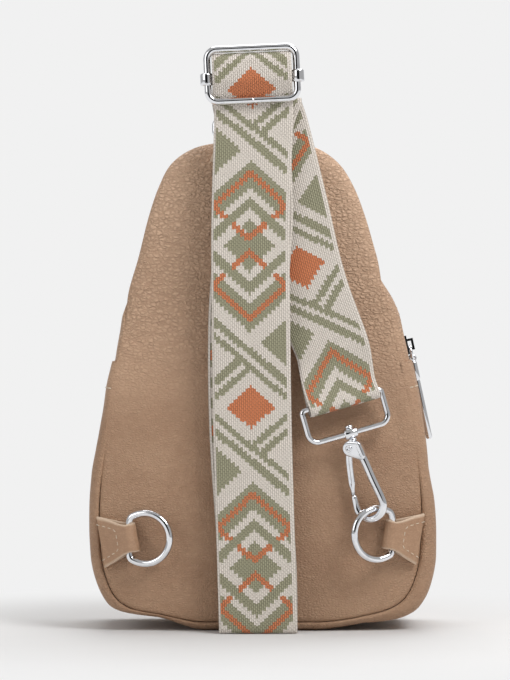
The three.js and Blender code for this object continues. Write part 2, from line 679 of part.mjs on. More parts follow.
// First fold, the run down behind the front layer, the fold at the floor and the front layer up
const foldBend = layerPitch / 2;
const foldX = slantX(strapTopFold);
const downX = foldX - 2;
wrap(leaned(foldX, strapTopFold, strapLean / 2), topLayerY(0.5), -foldBend, foldBend, 0, 180, 4);
station(leaned(downX, slantTop), topLayerY(1), 0);
const upperZ = lerp(slantTop, middleOfPanel.z, 0.3);
const lowerZ = lerp(slantTop, middleOfPanel.z, 0.62);
const footZ = seamBase + 30;
station(leaned(downX, upperZ), lerp(topLayerY(1), layerY(0), 0.55), 0);
station(leaned(downX - 1, lowerZ), layerY(0), 0);
station(leaned(downX - 1, middleOfPanel.z), layerY(0), 0);
station(leaned(-1, footZ), layerY(0), 0);
const floorBend = strapFloorGap + strapThickness / 2 + foldBend;
wrap(leaned(-0.8, floorBend), layerY(0.5), 0, foldBend, 0, -180, 6);
station(leaned(-1, footZ), layerY(1), 0);
station(leaned(-2, middleOfPanel.z), layerY(1), 0);
station(leaned(-3, lowerZ), layerY(1), 0);
station(leaned(-3.8, upperZ), lerp(topLayerY(2), layerY(1), 0.55), 0);

// Through the adjuster: behind its lower bar, over the sewn sliding bar and back under its upper bar
const belowFrame = adjusterWire / 2 + gap + strapThickness / 2;
const sewnWrap = sliderBarWire / 2 + runningFit + strapThickness / 2;
const overSewn = sewnWrap + strapThickness + runningFit;
const frameBottom = -frameHalfHeight;
const barSpacing = frameHalfHeight - sliderBarDrop;
const weave = THREE.MathUtils.radToDeg(Math.asin((belowFrame + overSewn) / barSpacing));
station(adjusterMatrix, belowFrame + 0.4, frameBottom - 7, strapAtFrames);
wrap(adjusterMatrix, 0, frameBottom, belowFrame, 0, weave, 3, strapAtFrames);
wrap(adjusterMatrix, 0, -sliderBarDrop, overSewn, 180 + weave, 180, 3, strapAtFrames);
station(adjusterMatrix, -overSewn, 4, strapAtFrames);
station(adjusterMatrix, -overSewn + 1.4, 9.6, strapAtFrames);
station(adjusterMatrix, 2.4, 12.2, strapAtFrames);
station(adjusterMatrix, 9, 10.6, strapAtFrames);
station(adjusterMatrix, 15, 2, strapAtFrames);

// Down to the top ring, round it and up to the sliding bar, where the end is sewn
const ringTop = topRingZ + topRingRise;
const loopWrap = topRingWire / 2 + gap + strapThickness / 2;
const hang = leaned(adjusterX, ringTop, adjusterTilt / 2);
station(hang, topRingY + loopWrap + 0.4, 16, strapAtFrames);
wrap(leaned(adjusterX, ringTop), topRingY, 0, loopWrap, 0, -180, 6, strapAtFrames);
station(hang, topRingY - loopWrap + 0.4, 10, strapAtFrames);
station(adjusterMatrix, 11.4, -12.4, strapAtFrames);
station(adjusterMatrix, 6.4, -sliderBarDrop + 0.6, strapAtFrames);
wrap(adjusterMatrix, 0, -sliderBarDrop, sewnWrap, 75, 285, 7, strapAtFrames);
station(adjusterMatrix, 4.6, -sliderBarDrop - sewnWrap + 0.1, strapAtFrames);

// Loft of the webbing's section through its stations
const along = run(stations.map((s) => s.at));
const perStation = 2;
const faceFront = [];
const faceBack = [];
for (let i = 0; i <= (stations.length - 1) * perStation; i++) {
  const place = i / perStation;
  const low = stations[Math.min(Math.floor(place), stations.length - 2)];
  const high = stations[stations.indexOf(low) + 1];
  const share = place - stations.indexOf(low);
  const at = along.getPoint(place / (stations.length - 1));
  const heading = along.getTangent(place / (stations.length - 1));
  const across = low.across.clone().lerp(high.across, share).normalize();
  const normal = heading.clone().cross(across).normalize();
  const half = lerp(low.width, high.width, share) / 2;
  const edge = (side, face) =>
    at.clone().addScaledVector(across, side * half).addScaledVector(normal, (face * strapThickness) / 2);
  faceFront.push([edge(-1, 1), edge(1, 1)]);
  faceBack.push([edge(-1, -1), edge(1, -1)]);
}
add("shoulder_strap", sheetSolid(faceFront, faceBack), 0xd9cfc4, 0.9, 0);

export default object;
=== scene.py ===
# %% [markdown]
# # A leather sling backpack, finished in Blender
# The bag is a teardrop of pebbled leather that stands on its base, seen from its back.
# A patterned webbing strap runs over it, from a snap hook at the lower right to an adjuster at the top.
# The CAD frame gives the place and the size of every piece. This script gives each one its real surface.

import math

import bpy
import bmesh
import numpy as np
from mathutils import Matrix, Vector, noise


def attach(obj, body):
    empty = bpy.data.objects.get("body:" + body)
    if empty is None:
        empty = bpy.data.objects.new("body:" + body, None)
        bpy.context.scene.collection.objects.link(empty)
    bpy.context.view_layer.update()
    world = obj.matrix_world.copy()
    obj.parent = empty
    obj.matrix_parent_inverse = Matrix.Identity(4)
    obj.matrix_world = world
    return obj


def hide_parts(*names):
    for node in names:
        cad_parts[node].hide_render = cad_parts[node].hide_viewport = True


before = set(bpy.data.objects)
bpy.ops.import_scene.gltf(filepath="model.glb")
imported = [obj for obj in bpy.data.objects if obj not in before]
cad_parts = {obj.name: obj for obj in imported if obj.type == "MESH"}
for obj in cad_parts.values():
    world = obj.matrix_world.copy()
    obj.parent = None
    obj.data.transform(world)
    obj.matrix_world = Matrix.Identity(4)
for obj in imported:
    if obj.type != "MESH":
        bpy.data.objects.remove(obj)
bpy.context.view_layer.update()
scene = bpy.context.scene
scene.view_settings.view_transform = "Standard"
mm = 0.001

# %% [markdown]
# The photograph was taken from straight behind the bag with a long lens, so that its sides hardly converge.
# A perspective camera could be matched by eye. Here its distance and its lens follow from two measured facts:
# one pixel covers 0.617 mm of the back panel, and the lens looks level at 180 mm above the floor.

# %% Camera
image_size = (510, 680)
mm_per_pixel = 0.617
lens_height = 180
lens_across = -3.4
lens_distance = 1900
back_panel_y = -46

camera_data = bpy.data.cameras.new("photo_camera")
camera_data.sensor_fit = "VERTICAL"
camera_data.sensor_height = 36
view_height = image_size[1] * mm_per_pixel
camera_data.lens = camera_data.sensor_height * (lens_distance + back_panel_y) / view_height
camera_data.clip_start = 0.05
camera = bpy.data.objects.new("photo_camera", camera_data)
camera.location = (lens_across * mm, -lens_distance * mm, lens_height * mm)
camera.rotation_euler = (math.radians(90), 0, 0)
scene.collection.objects.link(camera)
scene.camera = camera
print("lens", round(camera_data.lens, 1), "mm")

# %% [markdown]
# A studio sweep is one sheet of paper that runs from the floor up the wall in a wide curve, without a horizon.
# A floor plane alone would show its far edge behind the bag, because the camera is so low.
# The sheet is a row of points pulled out sideways. Its wall stands so far off that the bag can be seen from all
# round, and its paper is lit like everything else near the bag, so it keeps the shadow.

# %% Studio sweep
def link_mesh(name, points, faces, scale=mm):
    """A smooth mesh object at the origin from points in millimetres."""
    mesh = bpy.data.meshes.new(name)
    corners = [tuple(float(c) * scale for c in p) for p in points]
    mesh.from_pydata(corners, [], [tuple(map(int, f)) for f in faces])
    mesh.polygons.foreach_set("use_smooth", [True] * len(mesh.polygons))
    mesh.update()
    piece = bpy.data.objects.new(name, mesh)
    scene.collection.objects.link(piece)
    return piece


def grid_faces(rows, columns, wrap_rows=False, wrap_columns=False):
    """Quads of a grid of points that is stored row by row."""
    faces = []
    for r in range(rows if wrap_rows else rows - 1):
        for c in range(columns if wrap_columns else columns - 1):
            nr, nc = (r + 1) % rows, (c + 1) % columns
            faces.append((r * columns + c, r * columns + nc, nr * columns + nc, nr * columns + c))
    return faces


sweep_half_width, sweep_front, sweep_back, sweep_radius, sweep_top = 4000, -2600, 3200, 900, 3400
curve_steps = 24
sweep_line = [(sweep_front, 0), (-600, 0), (0, 0), (sweep_back - sweep_radius, 0)]
for step in range(1, curve_steps + 1):
    angle = math.radians(90 * step / curve_steps)
    curve_y = sweep_back + sweep_radius * (math.sin(angle) - 1)
    sweep_line.append((curve_y, sweep_radius * (1 - math.cos(angle))))
sweep_line.append((sweep_back, sweep_top))
sweep_points = [(x, y, z) for y, z in sweep_line for x in (-sweep_half_width, sweep_half_width)]
sweep = link_mesh("studio_sweep", sweep_points, grid_faces(len(sweep_line), 2))
print("sweep of", len(sweep_line), "rows")

# %% [markdown]
# The light in the photograph is wide and soft, and a little stronger from the upper right.
# A bare sky would light it evenly and leave the grain flat. Large lamps give the leather its shade, one of them
# from behind, so that the shadow falls toward the camera. A dark card round the lens is seen only by mirror rays
# and gives the chrome its dark lines.

# %% Lights and world
def area_lamp(name, place, target, size, watts):
    """A square lamp of a size in metres, aimed at a target."""
    data = bpy.data.lights.new(name, "AREA")
    data.size = size
    data.energy = watts
    lamp = bpy.data.objects.new(name, data)
    lamp.location = place
    lamp.rotation_euler = (Vector(target) - Vector(place)).to_track_quat("-Z", "Y").to_euler()
    scene.collection.objects.link(lamp)
    return lamp


area_lamp("key_lamp", place=(0.75, -0.8, 1.2), target=(0, 0, 0.24), size=0.6, watts=12.5)
area_lamp("fill_lamp", place=(-1.3, -1.3, 0.9), target=(0, 0, 0.16), size=1.1, watts=6)
area_lamp("top_lamp", place=(0.1, 0.5, 1.6), target=(0, 0, 0.1), size=1.2, watts=15)

card_half_width, card_y, card_low, card_high = 560, -1450, 120, 900
card_points = [(x, card_y, z) for z in (card_low, card_high) for x in (-card_half_width, card_half_width)]
card = link_mesh("dark_card", card_points, [(0, 1, 3, 2)])
for ray in ("camera", "diffuse", "shadow", "transmission", "volume_scatter"):
    setattr(card, "visible_" + ray, False)

world = bpy.data.worlds.new("studio")
scene.world = world
world.use_nodes = True
sky_colour, sky_strength = (1.0, 0.99, 0.98, 1), 0.42
sky = world.node_tree.nodes["Background"]
sky.inputs["Color"].default_value = sky_colour
sky.inputs["Strength"].default_value = sky_strength

# %% [markdown]
# Every material below is worked out by nodes, without pictures. Writing node links by hand soon hides the sum
# behind them. This small class stands for a socket and turns + - * / into Math nodes, so a formula in Python
# reads as a formula.

# %% A socket that can be calculated with
def socket_of(value):
    return value.socket if isinstance(value, Field) else value


def feed(tree, slot, value):
    """Links a field or a socket to a slot, or sets the slot to a plain value."""
    value = socket_of(value)
    if isinstance(value, bpy.types.NodeSocket):
        tree.links.new(value, slot)
    else:
        slot.default_value = value


class Field:
    """A value that changes over a surface. Its sums build Math nodes in the same tree."""

    def __init__(self, tree, socket):
        self.tree = tree
        self.socket = socket

    def math(self, operation, *others):
        node = self.tree.nodes.new("ShaderNodeMath")
        node.operation = operation
        for slot, value in zip(node.inputs, (self, *others)):
            feed(self.tree, slot, value)
        return Field(self.tree, node.outputs[0])

    def __add__(self, other):
        return self.math("ADD", other)

    def __sub__(self, other):
        return self.math("SUBTRACT", other)

    def __mul__(self, other):
        return self.math("MULTIPLY", other)

    def __truediv__(self, other):
        return self.math("DIVIDE", other)

    def __gt__(self, other):
        return self.math("GREATER_THAN", other)

    def __lt__(self, other):
        return self.math("LESS_THAN", other)

    def __abs__(self):
        return self.math("ABSOLUTE")

    def flipped(self):
        """One minus the value, for a mask."""
        return (self * -1) + 1

    def between(self, low, high):
        return (self > low) * (self < high)


def ramp(field, low, high, to_low=0.0, to_high=1.0):
    """The field mapped smoothly from one range to another, held at both ends."""
    node = field.tree.nodes.new("ShaderNodeMapRange")
    node.interpolation_type = "SMOOTHSTEP"
    field.tree.links.new(field.socket, node.inputs["Value"])
    for name, value in zip(("From Min", "From Max", "To Min", "To Max"), (low, high, to_low, to_high)):
        node.inputs[name].default_value = value
    return Field(field.tree, node.outputs["Result"])


def mix_colour(tree, mask, first, second):
    """The first colour where the mask is 0 and the second where it is 1."""
    node = tree.nodes.new("ShaderNodeMix")
    node.data_type = "RGBA"
    feed(tree, node.inputs["Factor"], mask)
    colour_slots = [slot for slot in node.inputs if slot.type == "RGBA"]
    for slot, value in zip(colour_slots, (first, second)):
        feed(tree, slot, value if isinstance(value, bpy.types.NodeSocket) else (*value, 1))
    return next(slot for slot in node.outputs if slot.type == "RGBA")


def noise_field(tree, vector, size, detail=2.0, output="Fac"):
    """Soft noise whose patches are about size metres wide."""
    node = tree.nodes.new("ShaderNodeTexNoise")
    for label, value in (("Vector", vector), ("Scale", 1 / size), ("Detail", detail)):
        feed(tree, node.inputs[label], value)
    return Field(tree, node.outputs[output])


def srgb(red, green, blue):
    """A colour as it is read off a screen, 0 to 255, in the linear values that shaders take."""
    def linear(c):
        c = c / 255
        return c / 12.92 if c <= 0.04045 else ((c + 0.055) / 1.055) ** 2.4
    return tuple(linear(c) for c in (red, green, blue))


print("formula helpers ready")

# %% [markdown]
# Full-grain leather is a skin of small pebbles with fine valleys between them. It could be sculpted,
# but each pebble is only 2 mm wide. A Voronoi pattern in three dimensions has the same cells and never stretches,
# so one node group gives its height, its valleys and a slow mottle to every leather piece.

# %% Pebble grain group
def shader_group(name, inputs, outputs):
    """An empty node group with named sockets: the tree, its input sockets and its output sockets."""
    tree = bpy.data.node_groups.new(name, "ShaderNodeTree")
    for label, kind, value in inputs:
        socket = tree.interface.new_socket(label, in_out="INPUT", socket_type=kind)
        if value is not None:
            socket.default_value = value
    for label, kind in outputs:
        tree.interface.new_socket(label, in_out="OUTPUT", socket_type=kind)
    entry = tree.nodes.new("NodeGroupInput")
    result = tree.nodes.new("NodeGroupOutput")
    return tree, entry.outputs, result.inputs


def vector_sum(tree, operation, first, second):
    node = tree.nodes.new("ShaderNodeVectorMath")
    node.operation = operation
    for slot, value in zip(node.inputs, (first, second)):
        feed(tree, slot, value)
    return node.outputs[0]


pebble_size, fine_pebble_size = 0.0021, 0.00085
wander_size, wander_reach = 0.006, 0.0026
swell_size, mottle_size = 0.004, 0.045
grain_tree, grain_in, grain_out = shader_group(
    "pebble_grain",
    [("Position", "NodeSocketVector", None), ("Coarseness", "NodeSocketFloat", 1.0)],
    [("Height", "NodeSocketFloat"), ("Valley", "NodeSocketFloat"), ("Mottle", "NodeSocketFloat")],
)
grain_place = grain_in["Position"]
wander = noise_field(grain_tree, grain_place, wander_size, output="Color")
wander = vector_sum(grain_tree, "SUBTRACT", wander, (0.5, 0.5, 0.5))
wander = vector_sum(grain_tree, "MULTIPLY", wander, (wander_reach,) * 3)
bent = vector_sum(grain_tree, "ADD", grain_place, wander)
spread = vector_sum(grain_tree, "DIVIDE", bent, grain_in["Coarseness"])


def pebble_cells(size):
    node = grain_tree.nodes.new("ShaderNodeTexVoronoi")
    node.feature = "DISTANCE_TO_EDGE"
    for label, value in (("Scale", 1 / size), ("Randomness", 0.95), ("Vector", spread)):
        feed(grain_tree, node.inputs[label], value)
    return Field(grain_tree, node.outputs["Distance"])


pebble = ramp(pebble_cells(pebble_size), 0.0, 0.34)
fine_pebble = ramp(pebble_cells(fine_pebble_size), 0.0, 0.4)
swell = noise_field(grain_tree, grain_place, swell_size, 3)
grain_height = pebble * 0.62 + fine_pebble * 0.2 + swell * 0.5
mottle = noise_field(grain_tree, grain_place, mottle_size, 4) * 0.6 + swell * 0.4
for label, field in (("Height", grain_height), ("Valley", pebble.flipped()), ("Mottle", mottle)):
    grain_tree.links.new(field.socket, grain_out[label])
print("grain group:", len(grain_tree.nodes), "nodes")

# %% [markdown]
# The body leather is a taupe tan with a soft sheen. The valleys and the creases are painted darker than the
# pebbles, as painted shade. Toward the top, where the bag is handled and folded, the skin is coarser and lightly
# creased, and it is painted paler there, as a painted highlight for the light that falls on the top.
# The creases are noise squeezed along the height, so that they lie across the bag.

# %% Body leather
def material(name):
    """An empty material: its tree and its Principled shader."""
    made = bpy.data.materials.new(name)
    made.use_nodes = True
    return made, made.node_tree, made.node_tree.nodes["Principled BSDF"]


def surface(tree, shader, **values):
    """Feeds a shader's inputs by name, with _ for a space."""
    for label, value in values.items():
        feed(tree, shader.inputs[label.replace("_", " ")], value)


def add_group(tree, group, **links):
    node = tree.nodes.new("ShaderNodeGroup")
    node.node_tree = group
    for label, value in links.items():
        feed(tree, node.inputs[label], value)
    return {slot.name: Field(tree, slot) for slot in node.outputs}


def bump(tree, shader, height, depth):
    """Lets a height from 0 to 1 stand depth metres proud of the surface."""
    node = tree.nodes.new("ShaderNodeBump")
    for label, value in (("Distance", depth), ("Strength", 1), ("Height", height)):
        feed(tree, node.inputs[label], value)
    feed(tree, shader.inputs["Normal"], node.outputs["Normal"])


def object_position(tree):
    return tree.nodes.new("ShaderNodeTexCoord").outputs["Object"]


def height_of(tree, position):
    node = tree.nodes.new("ShaderNodeSeparateXYZ")
    tree.links.new(position, node.inputs[0])
    return Field(tree, node.outputs["Z"])


tan_light, tan_mid = srgb(183, 149, 121), srgb(167, 132, 105)
# The deep tan is painted shade for the valleys and creases; the palest tan is a painted highlight for the top of the
# bag.
tan_painted_shade, tan_painted_light = srgb(118, 85, 61), srgb(222, 187, 158)
fibre_light, fibre_dark = srgb(228, 208, 186), srgb(188, 160, 134)
upper_heights, crown_heights = (0.11, 0.21), (0.2, 0.28)
fine_grain, coarse_grain = 1.05, 1.6
grain_squeeze, crease_squeeze, fibre_squeeze = (1, 1, 1.6), (1, 1, 3.4), (1, 1, 2.5)
crease_size, crease_width, crease_depth, fibre_size = 0.016, 0.09, 0.3, 0.0012
# The upper and crown weights paint that highlight onto the top of the bag, where the light falls.
low_grain, low_valley, upper_painted_light, crown_painted_light = 0.55, 0.5, 0.55, 0.35
# The valley and crease weights paint shade into the hollows of the grain.
valley_painted_shade, crease_painted_shade, most_painted_shade = 0.3, 0.1, 0.6


def body_leather(name, grain_depth, raw_edges=False):
    made, tree, shader = material(name)
    position = object_position(tree)
    upper = ramp(height_of(tree, position), *upper_heights)
    crown = ramp(height_of(tree, position), *crown_heights)
    flattened = vector_sum(tree, "MULTIPLY", position, grain_squeeze)
    grain = add_group(tree, grain_tree, Position=flattened, Coarseness=fine_grain)
    coarse = add_group(tree, grain_tree, Position=flattened, Coarseness=coarse_grain)
    squeezed = vector_sum(tree, "MULTIPLY", position, crease_squeeze)
    crease = ramp(abs(noise_field(tree, squeezed, crease_size, 3) - 0.5), 0.0, crease_width).flipped() * upper
    height = grain["Height"] * upper.flipped() * low_grain + coarse["Height"] * upper - crease * crease_depth
    valley = grain["Valley"] * upper.flipped() * low_valley + coarse["Valley"] * upper
    tone = mix_colour(tree, ramp(grain["Mottle"], 0.3, 0.72), tan_mid, tan_light)
    # Painted highlight: the upper part and the crown are mixed toward the palest tan, for the light that falls on the
    # top.
    tone = mix_colour(tree, upper * upper_painted_light + crown * crown_painted_light, tone, tan_painted_light)
    # Painted shade: the valleys and the creases are darkened toward the deep tan, for the shade that falls in them.
    dark = (valley * valley_painted_shade + crease * crease_painted_shade).math("MINIMUM", most_painted_shade)
    colour = mix_colour(tree, dark, tone, tan_painted_shade)
    if raw_edges:
        edge = tree.nodes.new("ShaderNodeAttribute")
        edge.attribute_name = "raw_edge"
        fibres = noise_field(tree, vector_sum(tree, "MULTIPLY", position, fibre_squeeze), fibre_size, 4)
        raw = mix_colour(tree, fibres, fibre_light, fibre_dark)
        colour = mix_colour(tree, Field(tree, edge.outputs["Fac"]), colour, raw)
    sheen = ramp(grain["Mottle"] + valley * 0.5, 0.2, 1.0, 0.44, 0.6)
    surface(tree, shader, Base_Color=colour, Roughness=sheen, Specular_IOR_Level=0.34)
    bump(tree, shader, height, grain_depth)
    return made


leather = body_leather("pebbled_leather", 0.00085)
tab_leather = body_leather("tab_leather", 0.0003, raw_edges=True)
print("leathers:", leather.name, tab_leather.name)

# %% [markdown]
# Chrome plate mirrors the room. On its own it would look like new glass, so a shared group adds what handling
# leaves: a faint haze in patches and hair scratches, which make the mirror a little less sharp.

# %% Handling haze group and chrome
haze_tree, haze_in, haze_out = shader_group(
    "handling_haze",
    [("Position", "NodeSocketVector", None)],
    [("Roughness", "NodeSocketFloat"), ("Height", "NodeSocketFloat"), ("Tarnish", "NodeSocketFloat")],
)
smear = noise_field(haze_tree, haze_in["Position"], 0.007, 3)
stretched = vector_sum(haze_tree, "MULTIPLY", haze_in["Position"], (1.0, 1.0, 0.08))
scratch = ramp(noise_field(haze_tree, stretched, 0.00025, 2), 0.62, 0.74)
feed(haze_tree, haze_out["Roughness"], ramp(smear, 0.35, 0.7, 0.05, 0.09) + scratch * 0.04)
feed(haze_tree, haze_out["Height"], smear * 0.5 + scratch * 0.5)
feed(haze_tree, haze_out["Tarnish"], ramp(smear, 0.45, 0.8))
haze_depth = 0.000002


def plated(name, bright, dull):
    made, tree, shader = material(name)
    haze = add_group(tree, haze_tree, Position=object_position(tree))
    colour = mix_colour(tree, haze["Tarnish"], bright, dull)
    surface(tree, shader, Base_Color=colour, Roughness=haze["Roughness"], Metallic=1)
    bump(tree, shader, haze["Height"], haze_depth)
    return made


chrome = plated("chrome_plate", srgb(236, 237, 240), srgb(214, 216, 221))
tooth_metal = plated("zip_tooth_metal", srgb(196, 197, 190), srgb(150, 152, 142))
print("metals:", chrome.name, tooth_metal.name)

# %% [markdown]
# The webbing is a jacquard: every thread crossing is a small lozenge of one colour, so slanted lines come out as
# steps. A picture of it would blur close up. Instead a weave group rounds the place on the strap to the middle of
# its lozenge, and gives the lozenge's own swell for the bump. The zipper tape uses the same group with finer threads.

# %% Weave group
weave_tree, weave_in, weave_out = shader_group(
    "thread_weave",
    [("Across", "NodeSocketFloat", 0.0), ("Along", "NodeSocketFloat", 0.0),
     ("Thread", "NodeSocketFloat", 1.26), ("Pick", "NodeSocketFloat", 2.27)],
    [("Across", "NodeSocketFloat"), ("Along", "NodeSocketFloat"), ("Swell", "NodeSocketFloat")],
)
thread = Field(weave_tree, weave_in["Thread"])
pick = Field(weave_tree, weave_in["Pick"])
column_place = Field(weave_tree, weave_in["Across"]) / thread
column = column_place.math("FLOOR")
stagger = column.math("FLOORED_MODULO", 2.0) * 0.5
step_stagger = stagger * 0.4
row_place = Field(weave_tree, weave_in["Along"]) / pick + stagger
row = row_place.math("FLOOR")
step_place = Field(weave_tree, weave_in["Along"]) / pick + step_stagger
beside = (column_place - column) * 2 - 1
above = (row_place - row) * 2 - 1
swell = (beside * beside).flipped() * (above * above * 0.9).flipped()
feed(weave_tree, weave_out["Across"], (column + 0.5) * thread)
feed(weave_tree, weave_out["Along"], (step_place.math("FLOOR") + 0.5 - step_stagger) * pick)
feed(weave_tree, weave_out["Swell"], swell.math("POWER", 0.6))
print("weave group:", len(weave_tree.nodes), "nodes")

# %% [markdown]
# The pattern on the strap is a traditional band of lozenges: nested chevrons, double lines that cross,
# and a plain diamond in each crossing. Each field of colour is a sum of the distances across and along the
# strap, since a slanted line is where such a sum is constant. The sizes are in pattern steps, 320 to one repeat.

# %% Jacquard webbing
strap_width = 47.8
pattern_step = 0.617
pattern_repeat = 320.0
half_repeat = pattern_repeat / 2
pattern_edge, pattern_shift = 35.4, 1.2
cream, sage, terracotta = srgb(226, 217, 207), srgb(160, 158, 132), srgb(210, 128, 88)
weave_shadow = srgb(92, 80, 64)
nest_slant, notch_slant, line_slant = 0.93, 0.87, 0.85
medallion_reach, medallion_from = 86.0, 60.0
zigzag_band, zigzag_gap, zigzag_rim = (3.6, 11.0), (37.5, 50.5), (69.5, 77.0)
outer_nest, middle_nest, inner_nest, inner_notch = (58.5, medallion_reach), (37.0, 49.0), 23.5, 11.0
bud_place, bud_size, bud_notch = 18.5, 7.8, 10.0
near_line, far_line, crossing_from, lines_end = (35.5, 43.5), (50.0, 59.5), 36.0, 64.0
diamond_reach, half_diamond_along, half_diamond_across, half_diamond_size = 21.0, 63.5, 35.0, 23.0


def uv_place(tree, name):
    """The two coordinates of a piece's own UV map."""
    node = tree.nodes.new("ShaderNodeUVMap")
    node.uv_map = name
    split = tree.nodes.new("ShaderNodeSeparateXYZ")
    tree.links.new(node.outputs["UV"], split.inputs[0])
    return Field(tree, split.outputs["X"]), Field(tree, split.outputs["Y"])


def lozenge_band(across, along):
    """Masks of sage and terracotta at a place on the strap, in pattern steps from a plain diamond's middle."""
    repeat_place = along.math("WRAP", half_repeat, -half_repeat)
    side = abs(across)
    from_diamond = abs(repeat_place)
    from_medallion = from_diamond.flipped() + (half_repeat - 1)
    nest = from_medallion + side * nest_slant
    medallion = (nest < medallion_reach) * (from_diamond > medallion_from)
    notch = from_medallion - side * notch_slant
    zigzag = notch.between(*zigzag_band) * nest.between(*zigzag_gap).flipped() * (nest < zigzag_rim[1])
    zigzag = (zigzag + nest.between(*zigzag_rim)).math("MINIMUM", 1.0) * medallion
    bud = (abs(from_medallion - bud_place) + side) < bud_size
    nested = nest.between(*outer_nest) + nest.between(*middle_nest)
    nested = nested + (nest < inner_nest) * (notch < inner_notch) + bud * (notch > bud_notch)
    through = abs(repeat_place + across * line_slant)
    stopped = abs(repeat_place - across * line_slant)
    crossing = through > crossing_from
    through_lines = (through.between(*near_line) + through.between(*far_line)) * crossing
    stopped_lines = (stopped.between(*near_line) + stopped.between(*far_line)) * crossing.flipped()
    diamond = (through < diamond_reach) * (stopped < diamond_reach)
    to_edge = abs(across * repeat_place.math("SIGN") - half_diamond_across) * nest_slant
    half_diamond = (abs(from_diamond - half_diamond_along) + to_edge) < half_diamond_size
    lines = (through_lines + stopped_lines + half_diamond * (through > lines_end)) * medallion.flipped()
    printed = side < pattern_edge
    terracotta_mask = (zigzag + diamond * medallion.flipped()) * printed
    sage_mask = (nested * medallion + lines) * printed
    return sage_mask.math("MINIMUM", 1.0), terracotta_mask.math("MINIMUM", 1.0)


def jacquard(name, length):
    """Webbing of a length in millimetres, on a UV map whose U is across and V along the strap."""
    made, tree, shader = material(name)
    u, v = uv_place(tree, "webbing")
    weave = add_group(tree, weave_tree, Across=(u - 0.5) * strap_width, Along=v * length)
    across = weave["Across"] / pattern_step + pattern_shift
    sage_mask, terracotta_mask = lozenge_band(across, weave["Along"] / pattern_step)
    colour = mix_colour(tree, sage_mask, cream, sage)
    colour = mix_colour(tree, terracotta_mask, colour, terracotta)
    position = object_position(tree)
    fuzz = noise_field(tree, position, 0.0011, 3)
    shade = ramp(weave["Swell"], 0.1, 0.7).flipped() * (sage_mask * 0.34 + terracotta_mask * 0.2 + 0.34)
    colour = mix_colour(tree, shade + ramp(fuzz, 0.5, 0.8) * 0.12, colour, weave_shadow)
    surface(tree, shader, Base_Color=colour, Roughness=ramp(fuzz, 0.3, 0.7, 0.78, 0.95),
            Specular_IOR_Level=0.2, Sheen_Weight=0.12)
    bump(tree, shader, weave["Swell"] + fuzz * 0.2, 0.0005)
    return made


# %% [markdown]
# The zipper tape is dyed to the leather and woven fine. Thread for the seams is cream and lightly twisted,
# and the studio paper has only a breath of unevenness. Each still gets its own nodes, because a flat colour looks
# like plastic. Away from the bag, camera and mirror rays see the paper at one even tone. Near it they see its shadow.

# %% Tape, thread and paper
def zipper_tape(name, length, width):
    made, tree, shader = material(name)
    u, v = uv_place(tree, "tape")
    weave = add_group(tree, weave_tree, Across=u * width, Along=v * length, Thread=0.55, Pick=0.8)
    shade = ramp(weave["Swell"], 0.05, 0.8).flipped() * 0.5
    surface(tree, shader, Base_Color=mix_colour(tree, shade, srgb(164, 142, 118), srgb(96, 80, 64)),
            Roughness=ramp(weave["Swell"], 0.0, 1.0, 0.95, 0.8))
    bump(tree, shader, weave["Swell"], 0.0002)
    return made


def sewing_thread(name, light, dark):
    made, tree, shader = material(name)
    position = object_position(tree)
    twist = noise_field(tree, position, 0.0005, 2)
    surface(tree, shader, Base_Color=mix_colour(tree, ramp(twist, 0.35, 0.7), dark, light),
            Roughness=ramp(twist, 0.3, 0.7, 0.85, 0.65))
    bump(tree, shader, twist, 0.0001)
    return made


cream_thread = sewing_thread("cream_thread", srgb(233, 221, 203), srgb(196, 178, 154))
tan_thread = sewing_thread("tan_thread", srgb(190, 160, 134), srgb(146, 117, 93))

paper_tone, paper_light, paper_dark = srgb(241, 241, 241), srgb(223, 223, 223), srgb(219, 219, 219)
bag_y, shadow_reach, clear_reach = -0.04, 0.15, 0.34
paper, paper_tree, paper_shader = material("studio_paper")
paper_position = object_position(paper_tree)
fleck = noise_field(paper_tree, paper_position, 0.09, 3)
surface(paper_tree, paper_shader, Base_Color=mix_colour(paper_tree, fleck, paper_dark, paper_light), Roughness=0.9)
split = paper_tree.nodes.new("ShaderNodeSeparateXYZ")
feed(paper_tree, split.inputs[0], paper_position)
paper_x, from_bag = Field(paper_tree, split.outputs["X"]), Field(paper_tree, split.outputs["Y"]) - bag_y
clear_of_bag = ramp((paper_x * paper_x + from_bag * from_bag).math("SQRT"), shadow_reach, clear_reach)
rays = paper_tree.nodes.new("ShaderNodeLightPath")
camera_ray, glossy_ray, passing_ray = (
    Field(paper_tree, rays.outputs[f"Is {kind} Ray"]) for kind in ("Camera", "Glossy", "Transmission"))
seen = (camera_ray + glossy_ray + passing_ray).math("MINIMUM", 1.0)
glow = paper_tree.nodes.new("ShaderNodeEmission")
glow.inputs["Color"].default_value = (*paper_tone, 1)
paper_mix = paper_tree.nodes.new("ShaderNodeMixShader")
mixed_from = (seen * clear_of_bag, paper_shader.outputs["BSDF"], glow.outputs["Emission"])
for slot, value in zip(paper_mix.inputs, mixed_from):
    feed(paper_tree, slot, value)
feed(paper_tree, paper_tree.nodes["Material Output"].inputs["Surface"], paper_mix.outputs["Shader"])
sweep.data.materials.append(paper)

card_black, card_tree, card_shader = material("card_black")
surface(card_tree, card_shader, Base_Color=(0.01, 0.01, 0.01, 1), Roughness=1.0, Specular_IOR_Level=0.0)
card.data.materials.append(card_black)
print("threads and paper ready")

# %% [markdown]
# The body is drawn by one line, the seam where the back panel meets the sides. The panels, the lower gusset and
# the strips beside the zipper all start from it, as they do on the cutting table. A smooth curve through a few
# measured points repeats the CAD seam. On the left it swells by a few millimetres, as the filled bag does.

